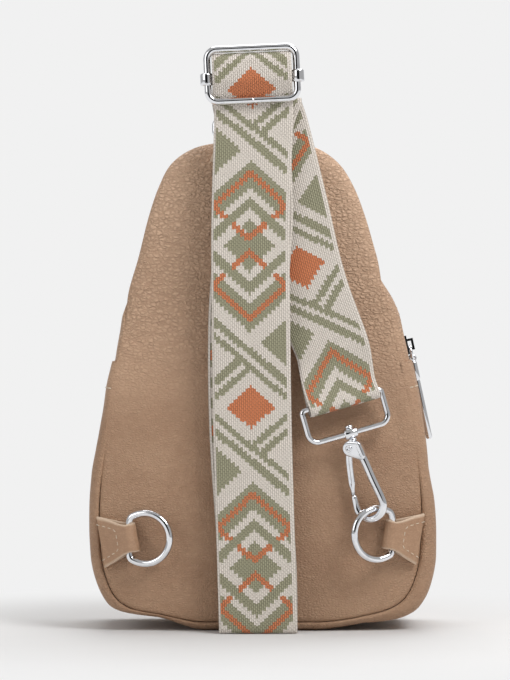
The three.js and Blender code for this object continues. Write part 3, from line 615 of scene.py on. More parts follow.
# %% Seam line
seam_half_width, seam_height, seam_base = 99.5, 293.3, 7.5
base_depth, top_depth, gusset_top = 86.0, 60.0, 166.0
side_bulge, top_bulge, corner_depth, panel_dome = 7.5, 0.9, 10.0, 6.0
corner_lift, base_sag = {-1: 8.5, 1: 4.2}, 1.8
hide, seam_gap = 2.0, 0.6
seam_percent = [
    (0, 0), (22, 0), (44, 0), (58, 0), (75.4, 1.4), (89.4, 4.3), (97, 9.7), (99.7, 16.9), (100, 24),
    (98.5, 30.9), (94.1, 42.8), (87.7, 52.3), (81.4, 61.9), (75.6, 69.7), (69.8, 75.9), (62.3, 84.7),
    (55.3, 90.9), (46.7, 95.5), (34.2, 98.5), (18.1, 99.8), (0, 100),
]


def spline(points, closed):
    """A centripetal Catmull-Rom curve: a function from 0 to 1 along it to points."""
    points = np.array(points, float)
    count = len(points)

    def at(share):
        place = np.asarray(share, float) * (count if closed else count - 1)
        first = np.floor(place).astype(int)
        if not closed:
            first = np.clip(first, 0, count - 2)
        part = (place - first)[:, None]
        if closed:
            p0, p1, p2, p3 = (points[(first + k) % count] for k in (-1, 0, 1, 2))
        else:
            ends = np.vstack([2 * points[0] - points[1], points, 2 * points[-1] - points[-2]])
            p0, p1, p2, p3 = (ends[first + k] for k in (0, 1, 2, 3))
        gaps = [np.linalg.norm(b - a, axis=1, keepdims=True) ** 0.5 for a, b in ((p0, p1), (p1, p2), (p2, p3))]
        d0, d1, d2 = (np.maximum(gap, 1e-4) for gap in gaps)
        t1 = ((p1 - p0) / d0 - (p2 - p0) / (d0 + d1) + (p2 - p1) / d1) * d1
        t2 = ((p2 - p1) / d1 - (p3 - p1) / (d1 + d2) + (p3 - p2) / d2) * d1
        c2, c3 = -3 * p1 + 3 * p2 - 2 * t1 - t2, 2 * p1 - 2 * p2 + t1 + t2
        return p1 + t1 * part + c2 * part**2 + c3 * part**3

    return at


def mixed(low, high, share):
    """The value at a share of the way from low to high."""
    return low + (high - low) * share


def smooth(value, low, high):
    """0 up to the low value, 1 from the high one, and a smooth step between."""
    share = np.clip((np.asarray(value, float) - low) / (high - low), 0, 1)
    return share * share * (3 - 2 * share)


right_half = [(seam_half_width * a / 100, 0, seam_base + seam_height * b / 100) for a, b in seam_percent]
left_swell = ((0, 135, 160, 190, 235, 275, 293, 301), (0, 0, 2.3, 2.3, 3.4, 5.2, 7.0, 7.0))
swell_from, swell_to = 8, 42
left_half = [(-x - np.interp(z, *left_swell) * smooth(x, swell_from, swell_to), y, z) for x, y, z in right_half[1:-1]]
seam = spline(right_half + left_half[::-1], closed=True)


def on_seam(share):
    """Places on the seam and the directions out of the bag: 0 is the middle of the base, 1 of the top."""
    turn = (np.asarray(share, float) / 2 + 1) % 1
    at = seam(turn)
    at[:, 2] = np.maximum(at[:, 2], seam_base)
    along = seam((turn + 1e-4) % 1) - seam((turn - 1e-4) % 1)
    along /= np.linalg.norm(along, axis=1, keepdims=True)
    return at, along, np.stack([along[:, 2], 0 * along[:, 0], -along[:, 0]], 1)


def seam_share_at(height):
    """The share of the way along the seam at which its right side is at a height."""
    shares = np.linspace(0.2, 1, 4001)
    return float(np.interp(height, seam(shares / 2)[:, 2], shares))


def half_depth(z):
    """Half of the bag's depth at a height."""
    return (base_depth + (top_depth - base_depth) * smooth(z, gusset_top * 0.4, seam_height)) / 2


left_fill = ((168, 182, 194, 206, 224), (0, 1.6, 2.7, 1.6, 0))
right_swell = ((0, 45, 65, 80, 100, 125, 180, 190, 205, 222, 240), (4.2, 4.0, 3.0, 2.0, 0.2, 0, 0, 0.2, 1.5, 1.2, 0))
flat_from_right, flat_from_left, flat_above = gusset_top + 24, gusset_top * 0.45, gusset_top + 58


def bulge_at(z, x):
    """How far a side strip stands out of the seam. The left side is pulled flatter than the right one."""
    right = mixed(side_bulge, top_bulge, smooth(z, flat_from_right, flat_above))
    right = right + np.interp(z, *right_swell) * smooth(x, 60, 88)
    left = mixed(side_bulge, top_bulge, smooth(z, flat_from_left, flat_above))
    left = left + np.interp(z, *left_fill)
    return np.where(np.asarray(x) > 0, right, left)


def settled(points):
    """The base of a filled bag sags in the middle and lifts a little toward its corners."""
    points = np.array(points, float)
    x, z = np.abs(points[:, 0]), points[:, 2]
    corner = np.where(points[:, 0] > 0, corner_lift[1], corner_lift[-1])
    lift = corner * smooth(x, 34, 66) * (1 - smooth(z, -4, 16))
    sag = base_sag * (1 - smooth(x, 40, 72)) * smooth(z, 0, seam_base) * (1 - smooth(z, 8, 30))
    points[:, 2] += lift - sag
    return points


panel_middle = np.array([0, 0, seam_base + seam_height * 0.4])
zip_gap = 0.3
gusset_share, zip_share = seam_share_at(gusset_top), seam_share_at(gusset_top + zip_gap)
print("gusset ends at seam share", round(gusset_share, 3))

# %% [markdown]
# Soft leather is never as even as the solid under it. It rolls over at a seam, puckers between the stitches,
# dips under a ring that hangs on it and sags a little between. Cloth simulation suits a stuffed cushion.
# This hide is stiff and held by its seams, so the same moves are made here straight on the points.

# %% Soft moves of the hide
def soft_noise(points, size, seed):
    """Noise from -1 to 1 at each point, in patches of about size millimetres."""
    shift = Vector((seed * 17.3, seed * 5.1, seed * 9.7))
    return np.array([noise.noise(Vector(p) / size + shift) for p in points])


def rolled(distance, width, depth):
    """How far an edge has rolled over at a distance from it: depth at the edge, none past the width."""
    share = np.clip(1 - distance / width, 0, 1)
    return depth * (1 - np.sqrt(np.maximum(1 - share**2, 0)))


ring_places = [(-76.0, 60.0), (76.0, 60.0)]
top_tab_place = (-4.0, 296.0)


def near(points, place, reach):
    """A soft spot that is 1 at a place on the back panel and fades out past its reach."""
    apart = np.hypot(points[:, 0] - place[0], points[:, 2] - place[1])
    return np.exp(-((apart / reach) ** 2))


def set_finish(piece, finish, body):
    piece.data.materials.clear()
    piece.data.materials.append(finish)
    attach(piece, body)


def apply_modifiers(piece):
    """Bakes a piece's modifiers into its mesh and leaves none on it."""
    shown = piece.evaluated_get(bpy.context.evaluated_depsgraph_get())
    mesh = bpy.data.meshes.new_from_object(shown)
    old = piece.data
    piece.modifiers.clear()
    piece.data = mesh
    mesh.name = piece.name
    bpy.data.meshes.remove(old)


rim_angle = math.radians(55)


def thicken(piece, thickness):
    """Gives a sheet its thickness on the inside and bakes it."""
    wall = piece.modifiers.new("hide", "SOLIDIFY")
    wall.thickness = thickness * mm
    wall.offset = -1
    wall.use_even_offset = False
    apply_modifiers(piece)
    piece.data.set_sharp_from_angle(angle=rim_angle)


def face_outward(piece, inside):
    """Turns a sheet's faces away from a point inside the bag, in millimetres."""
    mesh = piece.data
    centre = Vector(inside) * mm
    vote = sum(p.area * p.normal.dot(p.center - centre) for p in mesh.polygons)
    if vote < 0:
        mesh.flip_normals()


# %% [markdown]
# The back panel is one domed piece of hide. Rings of points run from its middle to the seam,
# packed closer toward the edge, where the leather rolls over: into the groove at the base, over the strip at the top.

# %% Back and front panels
roll_width, roll_depth = 4.0, 1.7
cover, cover_width, cover_depth = 3.6, 9.0, 5.5
ring_shares = np.concatenate([np.linspace(0.02, 0.9, 34), np.linspace(0.91, 1, 22)])
ring_points = 360
tight_roll = 0.16
pucker_size, pucker_depth, pucker_fade = 8, 0.5, 10
sag_size, sag_depth, sag_middle, ripple_size, ripple_depth = 62, 1.1, 0.9, 24, 0.35
dent_depth, dent_reach, dent_inward, dent_below = 1.9, 17, 14, 2


def covers_at(z, x):
    """1 where the back panel is rolled over the zipper strip, 0 where it ends at the seam."""
    right = smooth(z, gusset_top + 40, gusset_top + 66)
    left = smooth(z, gusset_top + 14, gusset_top + 46)
    return np.where(np.asarray(x) > 0, right, left)


def open_at(z):
    """1 at the base, where the seam lies open as a groove, 0 higher up, where the panel's edge covers it."""
    return 1 - smooth(z, 78, 125)


def leather_panel(name, side):
    at, _, out = on_seam(np.arange(ring_points) * 2 / ring_points)
    covers = covers_at(at[:, 2], at[:, 0])
    edge = at + out * (cover * covers - 0.05)[:, None]
    reach = np.linalg.norm(edge - panel_middle, axis=1)
    tight = tight_roll + (1 - tight_roll) * open_at(at[:, 2])
    width, depth = roll_width + cover_width * covers, roll_depth * tight + cover_depth * covers
    rows = [panel_middle[None].copy()]
    for share in ring_shares:
        row = panel_middle + (edge - panel_middle) * share
        flat = row * (1, 0, 1)
        from_edge = (1 - share) * reach
        lift = half_depth(row[:, 2]) + panel_dome * (1 - share**3) - rolled(from_edge, width, depth)
        fading = np.exp(-from_edge / pucker_fade) * np.minimum(from_edge / 2, 1)
        pucker = soft_noise(flat, pucker_size, 2 + side) * pucker_depth * fading
        sag = soft_noise(flat, sag_size, 7 + side) * sag_depth - sag_middle
        sag = sag + soft_noise(flat, ripple_size, 4) * ripple_depth
        if side < 0:
            calm = sum(near(row, place, 22) for place in ring_places) + near(row, top_tab_place, 34)
            sag = sag * np.clip(1 - calm, 0, 1)
            for x, z in ring_places:
                inward = (x - np.sign(x) * dent_inward, z - dent_below)
                sag -= dent_depth * near(row, inward, dent_reach) * smooth(from_edge, 16, 30)
        lift = lift + (sag + pucker) * min(1, (1 - share) * 9)
        rows.append(np.stack([row[:, 0], side * lift, row[:, 2]], 1))
    rows[0][0, 1] = rows[1][:, 1].mean()
    points = settled(np.vstack(rows))
    faces = [(0, 1 + (i + 1) % ring_points, 1 + i) for i in range(ring_points)]
    rings = grid_faces(len(ring_shares), ring_points, wrap_columns=True)
    faces += [tuple(1 + k for k in face) for face in rings]
    piece = link_mesh(name, points, faces)
    face_outward(piece, panel_middle)
    thicken(piece, hide)
    set_finish(piece, leather, "bag")
    return piece


back_hide = leather_panel("back_panel_hide", -1)
front_hide = leather_panel("front_panel_hide", 1)
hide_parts("back_panel")
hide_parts("front_panel")
print("panels:", len(back_hide.data.polygons), "faces each")

# %% [markdown]
# The lower gusset is one strip that runs under the base and up both sides. Seen from the back it shows as a soft
# roll outside the seam. Its upper ends are folded over and lie on the zipper strips, so they stand a little proud.

# %% Lower gusset and zipper strips
edge_turn = np.radians(np.linspace(0, 90, 18))
zip_slot, end_fold, fold_share = 5.5, 1.5, 0.075
ruffle_size, ruffle_depth, ruffle_middle, wrinkle_size, wrinkle_depth = 34, 0.7, 0.6, 11, 0.18


def side_profile(z, x, stops):
    """Outward and depth coordinates of a side strip at one height, from the back edge to the given stops."""
    bulge, opening = float(bulge_at(z, x)), float(open_at(z))
    start = mixed(-0.7, seam_gap / 2, opening)
    deepest = half_depth(z) - (cover_depth + 1.6) * float(covers_at(z, x)) - 0.25 * (1 - opening)
    rows = []
    for t in edge_turn:
        depth = min(half_depth(z) - corner_depth * (1 - math.cos(t)), deepest)
        dip = float(rolled(np.array([t * 9.0]), 3.4, 1.5)[0]) * opening
        rows.append((start + (bulge - start) * math.sin(t), depth - dip))
    flat = [(bulge - sink, stop) for stop, sink in stops]
    return rows, flat


def side_strip(name, from_share, to_share, steps, both_edges, fold_ends):
    shares = np.linspace(from_share, to_share, steps + 1)
    at, _, out = on_seam(shares)
    grid = []
    for p, o in zip(at, out):
        z = p[2]
        y0 = half_depth(z) - corner_depth
        if both_edges:
            rows, flat = side_profile(z, p[0], [(y, 0) for y in np.linspace(y0, 0, 10)[1:]])
            back = [(a, -d) for a, d in rows + flat]
            line = back + [(a, -y) for a, y in back[::-1][1:]]
        else:
            stops = [(y0 + (zip_slot - y0) * k / 8, 0) for k in range(1, 8)]
            stops += [(zip_slot + 0.4, 0.1), (zip_slot, 0.5), (zip_slot, 1.4)]
            rows, flat = side_profile(z, p[0], stops)
            line = [(a, -d) for a, d in rows + flat]
        line = np.array(line)
        points = p + o * line[:, :1]
        points[:, 1] = line[:, 1]
        grid.append(points)
    grid = np.array(grid)
    rows, columns = grid.shape[:2]
    flat_points = grid.reshape(-1, 3)
    outward = np.repeat(out, columns, axis=0)
    ruffle = soft_noise(flat_points, ruffle_size, 11) * ruffle_depth - ruffle_middle
    ruffle = ruffle + soft_noise(flat_points, wrinkle_size, 12) * wrinkle_depth
    numbers = np.arange(columns)
    from_seam = np.tile(np.minimum(numbers, numbers[::-1] if both_edges else columns) / 14, rows)
    ruffle *= np.clip(from_seam, 0, 1) * smooth(flat_points[:, 2], 3, 12)
    flat_points = flat_points + outward * ruffle[:, None]
    if fold_ends:
        place = np.repeat(np.abs(shares) - (gusset_share - fold_share), columns) / fold_share
        lip = smooth(place, 0.0, 0.75) * np.clip(from_seam * 2, 0, 1)
        flat_points = flat_points + outward * (lip * fold_ends)[:, None]
    flat_points = settled(flat_points)
    piece = link_mesh(name, flat_points, grid_faces(rows, columns))
    face_outward(piece, panel_middle)
    return piece, flat_points.reshape(rows, columns, 3), out


gusset, gusset_grid, gusset_out = side_strip("lower_gusset_hide", -gusset_share, gusset_share, 460, True, end_fold)
thicken(gusset, hide)
set_finish(gusset, leather, "bag")
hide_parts("lower_gusset")

strip_start, strip_end = zip_share - 0.012, 2.012 - zip_share
strip_back, strip_grid, strip_out = side_strip("zip_strip_back_hide", strip_start, strip_end, 320, False, 0)
strip_front = strip_back.copy()
strip_front.data = strip_back.data.copy()
strip_front.name = "zip_strip_front_hide"
scene.collection.objects.link(strip_front)
strip_front.data.transform(Matrix.Scale(-1, 4, (0, 1, 0)))
strip_front.data.flip_normals()
for strip, node in ((strip_back, "zip_strip_back"), (strip_front, "zip_strip_front")):
    thicken(strip, hide * 0.8)
    set_finish(strip, leather, "bag")
    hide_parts(node)
print("gusset:", len(gusset.data.polygons), "faces; zipper strip:", len(strip_back.data.polygons))

# %% [markdown]
# Stitches and zipper teeth are one small shape repeated along a path. Copying them in a loop would work, but a
# Geometry Nodes tree keeps the pitch and the size as inputs: it resamples the path, stands a copy on each point
# along the stored directions, realizes the copies and gives them their finish. The result is kept as a plain mesh.

# %% A node tree that repeats a shape along a path
def repeat_tree():
    tree = bpy.data.node_groups.new("repeat_along_path", "GeometryNodeTree")
    sockets = {"Geometry": "Geometry", "Shape": "Object", "Pitch": "Float", "Size": "Vector", "Unevenness": "Float",
               "Seed": "Int", "Finish": "Material"}
    for label, kind in sockets.items():
        tree.interface.new_socket(label, in_out="INPUT", socket_type="NodeSocket" + kind)
    tree.interface.new_socket("Geometry", in_out="OUTPUT", socket_type="NodeSocketGeometry")
    entry, result = tree.nodes.new("NodeGroupInput"), tree.nodes.new("NodeGroupOutput")
    to_curve = tree.nodes.new("GeometryNodeMeshToCurve")
    resample = tree.nodes.new("GeometryNodeResampleCurve")
    resample.mode = "LENGTH"
    shape = tree.nodes.new("GeometryNodeObjectInfo")
    stand = tree.nodes.new("GeometryNodeInstanceOnPoints")
    axes = tree.nodes.new("FunctionNodeAxesToRotation")
    axes.primary_axis, axes.secondary_axis = "Z", "X"
    uneven = tree.nodes.new("FunctionNodeRandomValue")
    uneven.data_type = "FLOAT"
    smallest = tree.nodes.new("ShaderNodeMath")
    smallest.operation = "SUBTRACT"
    smallest.inputs[0].default_value = 1.0
    scale = tree.nodes.new("ShaderNodeVectorMath")
    scale.operation = "SCALE"
    realize = tree.nodes.new("GeometryNodeRealizeInstances")
    finish = tree.nodes.new("GeometryNodeSetMaterial")
    link = tree.links.new
    for label, slot in (("out", "Primary Axis"), ("along", "Secondary Axis")):
        stored = tree.nodes.new("GeometryNodeInputNamedAttribute")
        stored.data_type = "FLOAT_VECTOR"
        stored.inputs["Name"].default_value = label
        link(stored.outputs["Attribute"], axes.inputs[slot])
    least, most = [slot for slot in uneven.inputs if slot.type == "VALUE"][:2]
    drawn = next(slot for slot in uneven.outputs if slot.type == "VALUE")
    most.default_value = 1.0
    for source, slot in (
        (entry.outputs["Geometry"], to_curve.inputs[0]), (to_curve.outputs[0], resample.inputs["Curve"]),
        (entry.outputs["Pitch"], resample.inputs["Length"]), (entry.outputs["Shape"], shape.inputs["Object"]),
        (resample.outputs[0], stand.inputs["Points"]), (shape.outputs["Geometry"], stand.inputs["Instance"]),
        (axes.outputs["Rotation"], stand.inputs["Rotation"]), (entry.outputs["Unevenness"], smallest.inputs[1]),
        (smallest.outputs[0], least), (entry.outputs["Seed"], uneven.inputs["Seed"]),
        (entry.outputs["Size"], scale.inputs[0]), (drawn, scale.inputs["Scale"]),
        (scale.outputs[0], stand.inputs["Scale"]), (stand.outputs[0], realize.inputs[0]),
        (realize.outputs[0], finish.inputs["Geometry"]), (entry.outputs["Finish"], finish.inputs["Material"]),
        (finish.outputs[0], result.inputs[0]),
    ):
        link(source, slot)
    return tree


along_path = repeat_tree()


def repeat_along(name, points, outs, shape, pitch, size, finish, body, unevenness=0.0, seed=3):
    """A piece made of copies of a shape along a path. The outs point away from the surface under it."""
    points, outs = np.asarray(points, float), np.asarray(outs, float)
    path = link_mesh(name, points, [])
    path.data.edges.add(len(points) - 1)
    path.data.edges.foreach_set("vertices", [k for i in range(len(points) - 1) for k in (i, i + 1)])
    along = np.gradient(points, axis=0)
    along /= np.linalg.norm(along, axis=1, keepdims=True)
    for label, vectors in (("along", along), ("out", outs)):
        stored = path.data.attributes.new(label, "FLOAT_VECTOR", "POINT")
        stored.data.foreach_set("vector", vectors.astype(np.float32).ravel())
    maker = path.modifiers.new("repeat", "NODES")
    maker.node_group = along_path
    values = {"Shape": shape, "Pitch": pitch * mm, "Size": size, "Unevenness": unevenness, "Seed": seed,
              "Finish": finish}
    for item in along_path.interface.items_tree:
        if item.in_out == "INPUT" and item.name in values:
            maker[item.identifier] = values[item.name]
    path.update_tag()
    apply_modifiers(path)
    path.data.polygons.foreach_set("use_smooth", [True] * len(path.data.polygons))
    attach(path, body)
    return path


# %% [markdown]
# A stitch is a short length of thread that dips into the hide at both ends, so its shape is a low arch.
# A zipper tooth is a small cast block. Two of them, half a pitch apart on either side, make one link of the chain.

# %% Shapes to repeat
def stitch_shape():
    rings, sides, arch = 7, 6, 0.55
    points = []
    for i in range(rings):
        share = i / (rings - 1) * 2 - 1
        radius = 0.5 * math.sqrt(max(1 - share**4, 0.02))
        for k in range(sides):
            angle = 2 * math.pi * k / sides
            rise = -arch * share * share
            points.append((share * 0.5, radius * math.cos(angle), rise + radius * math.sin(angle)))
    faces = grid_faces(rings, sides, wrap_columns=True)
    faces += [tuple(range(sides))[::-1], tuple((rings - 1) * sides + k for k in range(sides))]
    return link_mesh("stitch_shape", points, faces, scale=1.0)


def tooth_shape(pitch):
    width, height, rounding, top_taper, from_middle = 2.7, 2.1, 0.22, 0.72, 0.55
    shape = bmesh.new()
    for side in (-1, 1):
        made = bmesh.ops.create_cube(shape, size=1)
        place = Vector((side * pitch / 4, side * from_middle, 0))
        for vertex in made["verts"]:
            x, y, z = vertex.co
            taper = top_taper if z > 0 else 1.0
            vertex.co = Vector((x * pitch * 0.58 * taper, y * width, z * height)) + place
        edges = list({edge for vertex in made["verts"] for edge in vertex.link_edges})
        bmesh.ops.bevel(shape, geom=edges, offset=rounding, segments=1, affect="EDGES")
    mesh = bpy.data.meshes.new("tooth_shape")
    shape.to_mesh(mesh)
    shape.free()
    piece = bpy.data.objects.new("tooth_shape", mesh)
    scene.collection.objects.link(piece)
    return piece


tooth_pitch = 2.4
stitch, tooth_pair = stitch_shape(), tooth_shape(tooth_pitch)
stitch_size = (2.9 * mm, 0.75 * mm, 0.7 * mm)
stitch_pitch = 3.7
print("stitch:", len(stitch.data.polygons), "faces; tooth pair:", len(tooth_pair.data.polygons))

# %% [markdown]
# The zipper arches over the top of the bag between the two strips. Each side has a woven tape, the teeth stand
# between them, and a row of stitches holds each strip down. All follow the seam at their own distance from it.

# %% Zipper tapes, teeth and stitch rows
tape_outer, tape_inner, tape_sink, tape_thickness = 12.5, 2.3, hide + 0.9, 0.7


def set_uv(piece, name, across, along):
    """A UV map for a grid of points: across by its columns and along by its rows."""
    layer = piece.data.uv_layers.new(name=name)
    for loop in piece.data.loops:
        row, column = divmod(loop.vertex_index, len(across))
        layer.data[loop.index].uv = (across[column], along[row])


def tape_piece(name, side):
    at, _, out = on_seam(np.linspace(zip_share, 2 - zip_share, 241))
    sinks = np.array([0, 0, 0, 0, -0.1, -0.3]) + tape_sink
    depths = np.linspace(tape_outer, tape_inner, len(sinks))
    grid = []
    for p, o in zip(at, out):
        row = p + o * (bulge_at(p[2], p[0]) - sinks)[:, None]
        row[:, 1] = side * depths
        grid.append(row)
    grid = np.array(grid)
    piece = link_mesh(name, grid.reshape(-1, 3), grid_faces(*grid.shape[:2]))
    face_outward(piece, panel_middle)
    set_uv(piece, "tape", *(np.arange(count) / (count - 1) for count in (len(depths), len(at))))
    thicken(piece, tape_thickness)
    return piece, float(np.linalg.norm(np.diff(at, axis=0), axis=1).sum())


tape_back, tape_length = tape_piece("zip_tape_back_weave", -1)
tape_front, _ = tape_piece("zip_tape_front_weave", 1)
tape_cloth = zipper_tape("zip_tape_weave", tape_length, tape_outer - tape_inner)
for tape, node in ((tape_back, "zip_tape_back"), (tape_front, "zip_tape_front")):
    set_finish(tape, tape_cloth, "bag")
    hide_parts(node)

teeth_at, _, teeth_out = on_seam(np.linspace(zip_share + 0.004, 1.996 - zip_share, 500))
teeth_sink = 1.65
teeth_line = teeth_at + teeth_out * (bulge_at(teeth_at[:, 2], teeth_at[:, 0]) - teeth_sink)[:, None]
teeth = repeat_along("zip_teeth", teeth_line, teeth_out, tooth_pair, tooth_pitch, (mm, mm, mm), tooth_metal,
                     "bag")
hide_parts("zip_chain")

edge_column, stitch_lift = 22, 0.25
for name, side in (("zip_stitches_back", 1), ("zip_stitches_front", -1)):
    line = strip_grid[6:-6, edge_column] * (1, side, 1) + strip_out[6:-6] * stitch_lift
    repeat_along(name, line, strip_out[6:-6], stitch, stitch_pitch, stitch_size, tan_thread, "bag", 0.12)

end_rows = {"left": 12, "right": len(gusset_grid) - 13}
for label, row in end_rows.items():
    line = gusset_grid[row, 5:-5]
    outs = np.repeat(gusset_out[row][None], len(line), axis=0)
    depth = line[:, 1] / (half_depth(gusset_top) - 1)
    outs = outs * np.sqrt(np.maximum(1 - np.abs(depth) ** 6, 0.05))[:, None] + np.stack(
        [0 * depth, np.sign(depth) * np.abs(depth) ** 6, 0 * depth], 1)
    outs /= np.linalg.norm(outs, axis=1, keepdims=True)
    repeat_along(f"gusset_stitches_{label}", line + outs * stitch_lift, outs, stitch, stitch_pitch, stitch_size,
                 cream_thread, "bag", 0.12, seed=5)
print("tape", round(tape_length), "mm; teeth:", len(teeth.data.polygons), "faces")

# %% [markdown]
# Each D-ring hangs in a leather tab: a strip folded round the ring's bar, with both ends caught in the side seam.
# The fold follows the bar, the upper layer slopes down to the seam, and the cut sides show pale fibres.
# The strip is a rounded section swept along that path, and an attribute marks its cut sides for the material.

# %% Ring tabs
ring_bar = np.array([81.0, -51.0488, 60.0])
tab_slope, tab_fold_width, tab_seam_width, tab_length = 8.5, 18.0, 32.0, 18.2
ring_wire, tab_room, tab_tilt, left_drop = 4.7, 1.1, 9.5, 1.9
tab_hide, tab_waist = hide * 0.96, 1.6
tab_inside = ring_wire / 2 + tab_room


def tab_path(inside, length, steps=22):
    """The middle line of a folded strip round a bar at the origin, in the plane across the bar."""
    middle = inside + hide / 2
    lower = [(length * (1 - k / steps), middle) for k in range(steps)]
    fold = [(middle * math.cos(a), middle * math.sin(a)) for a in np.radians(np.linspace(90, 270, 25))]
    upper = []
    for k in range(1, steps + 1):
        share = k / steps
        upper.append((length * share, -middle + (2 * middle - hide * 0.98) * float(smooth(share, -0.12, 1.12))))
    return np.array(lower + fold + upper)


def outward_normals(mesh):
    """Turns the faces of a closed mesh outward."""
    shape = bmesh.new()
    shape.from_mesh(mesh)
    bmesh.ops.recalc_face_normals(shape, faces=shape.faces)
    shape.to_mesh(mesh)
    shape.free()


def swept_strip(name, path, widths, thickness, place):
    """A strip of rounded section along a path in its own XY plane, with its width along Z."""
    along = np.gradient(path, axis=0)
    along /= np.linalg.norm(along, axis=1, keepdims=True)
    normal = np.stack([-along[:, 1], along[:, 0]], 1)
    half, edge = thickness / 2, thickness / 2 * 0.45
    section = [(s, half) for s in np.linspace(-1, 1, 15)] + [(1, edge), (1, -edge)]
    section += [(s, -half) for s in np.linspace(1, -1, 15)] + [(-1, -edge), (-1, edge)]
    points, raw = [], []
    for p, n, width in zip(path, normal, widths):
        for across, lift in section:
            tuck = 0.22 if abs(across) == 1 and abs(lift) == half else 0.0
            at = p + n * (lift * (1 - tuck))
            points.append((at[0], at[1], across * (width / 2 - tuck * 0.6)))
            raw.append(1.0 if abs(across) == 1 else 0.0)
    columns = len(section)
    faces = grid_faces(len(path), columns, wrap_columns=True)
    faces += [tuple(range(columns)), tuple((len(path) - 1) * columns + k for k in range(columns))[::-1]]
    piece = link_mesh(name, points, faces)
    mark = piece.data.attributes.new("raw_edge", "FLOAT", "POINT")
    mark.data.foreach_set("value", raw)
    piece.data.transform(place)
    outward_normals(piece.data)
    return piece


def turned(axis, degrees):
    return Matrix.Rotation(math.radians(degrees), 4, axis)


def tab_place(side):
    """From a tab's own plane to the bag, in metres: its sewn end points to the side."""
    facing = Matrix.Identity(4) if side > 0 else turned("Z", 180) @ turned("X", 180)
    bar = (ring_bar * (side, 1, 1) - (0, 0, left_drop if side < 0 else 0)) * mm
    return Matrix.Translation(Vector(bar)) @ turned("Y", side * tab_tilt) @ turned("Z", side * tab_slope) @ facing


tab_stitch_size = (2.7 * mm, 0.55 * mm, 0.55 * mm)
turn_in, reach = 0.42, 0.34
stitch_run = [(1.0, reach), (0.72, reach * 0.92), (turn_in, reach * 0.72), (turn_in - 0.03, 0.0),
              (turn_in, -reach * 0.72), (0.72, -reach * 0.92), (1.0, -reach)]
stitch_curve = spline([(share, 0, across) for share, across in stitch_run], closed=False)(np.linspace(0, 1, 90))
path = tab_path(tab_inside, tab_length)
widths = mixed(tab_fold_width, tab_seam_width, np.clip(path[:, 0] / tab_length, 0, 1))
widths = widths - tab_waist * np.exp(-((path[:, 0] - 4) / 5) ** 2) * (path[:, 1] < 0)
top = path[-20:]
x = stitch_curve[:, 0] * tab_length
lift = np.interp(x, top[:, 0], top[:, 1])
width = mixed(tab_fold_width, tab_seam_width, stitch_curve[:, 0])
lines = np.stack([x, lift - hide / 2 - 0.2, stitch_curve[:, 2] * width], 1)
for label, side in (("left", -1), ("right", 1)):
    place = tab_place(side)
    tab = swept_strip(f"ring_tab_{label}_leather", path, widths, tab_hide, place)
    set_finish(tab, tab_leather, "bag")
    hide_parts(f"ring_tab_{label}")
    placed = np.array([place @ Vector(p * mm) for p in lines]) / mm
    outward = np.array(place.to_3x3() @ Vector((0.3, -1, 0)).normalized())
    outs = np.repeat(outward[None], len(placed), axis=0)
    repeat_along(f"tab_stitches_{label}", placed, outs, stitch, stitch_pitch, tab_stitch_size, cream_thread,
                 "bag", 0.1, seed=8)
print("ring tabs at", ring_bar)

# %% [markdown]
# The top ring sits behind the adjuster, in a wider tab of the same kind that is sewn to the top edge of the back
# panel. It is built by the same sweep, turned so that its sewn end points down.

# %% Top tab
top_ring_place = np.array([-4.0, -35.7, 306.8])
top_wire, top_room, top_length, top_fold_width, top_seam_width = 3.3, 0.55, 16.0, 43.0, 55.0
top_path = tab_path(top_wire / 2 + top_room, top_length)
top_widths = mixed(top_fold_width, top_seam_width, np.clip(top_path[:, 0] / top_length, 0, 1))
top_turn = Matrix.Translation(Vector(top_ring_place * mm)) @ turned("Y", 90)
top_tab = swept_strip("top_tab_leather", top_path, top_widths, tab_hide, top_turn)
set_finish(top_tab, tab_leather, "bag")
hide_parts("top_tab")
print("top tab", [round(c, 1) for c in top_ring_place])

# %% [markdown]
# The strap is one length of webbing. It is sewn round the hook's bail, slants up to the left, folds over, hangs
# down behind and folds up at the floor, runs up in front, and passes the adjuster and the top ring to its sewn end.
# Webbing keeps its width and bends only along its length, so it is drawn as a ribbon through stations along
# the CAD route, moved by up to 4 mm where the photograph shows it elsewhere.

# %% Strap route
strap_thickness, strap_at_bail, strap_at_frames, strap_lean = 1.4, 45.4, 48.6, 15.7
strap_at_ring, slant_shift, bail_shift = 45.0, 3.4, 1.3
bail_yaw, slant_yaw, slant_inset, slant_rise = 13.0, -6.0, 2.4, 32.0
bail_wire, bail_height, layer_pitch = 3.3, 21.0, 4.2
hook_place = np.array([55.15, -57.0788, 122.81])
top_ring_y, ring_top, top_fold = top_ring_place[1], 315.8, 326.0
slack = 0.2
adjuster_place, adjuster_tilt = np.array([-5.2, -54.0, 343.4]), 2.6
frame_half_height, adjuster_wire, bar_drop, bar_wire = 16.0, 4.4, 2.2, 3.2


def leaned(x, z, lean=0.0, yaw=0.0):
    return Matrix.Translation((x, 0, z)) @ turned("Y", -lean) @ turned("Z", yaw)


def layer_y(layer):
    """How far back a layer of the strap hangs over the panel's middle."""
    return -float(half_depth(panel_middle[2])) - panel_dome - 10 - layer_pitch * layer


def top_layer_y(layer):
    """How far back a layer of the strap lies at its upper fold."""
    return -float(half_depth(top_fold)) - 12 - layer_pitch * layer


stations = []


def station(place, y, z, width=strap_width, x=0.0):
    """Adds a point of the route, with the strap's direction across and its width."""
    stations.append((place @ Vector((x, y, z)), (place.to_3x3() @ Vector((1, 0, 0))).normalized(), width))


def wrap(place, y, z, radius, start, end, count, width=strap_width, x=0.0):
    """Adds an arc of the route round a bar."""
    for angle in np.radians(np.linspace(start, end, count + 1)):
        station(place, y + radius * math.cos(angle), z + radius * math.sin(angle), width, x)


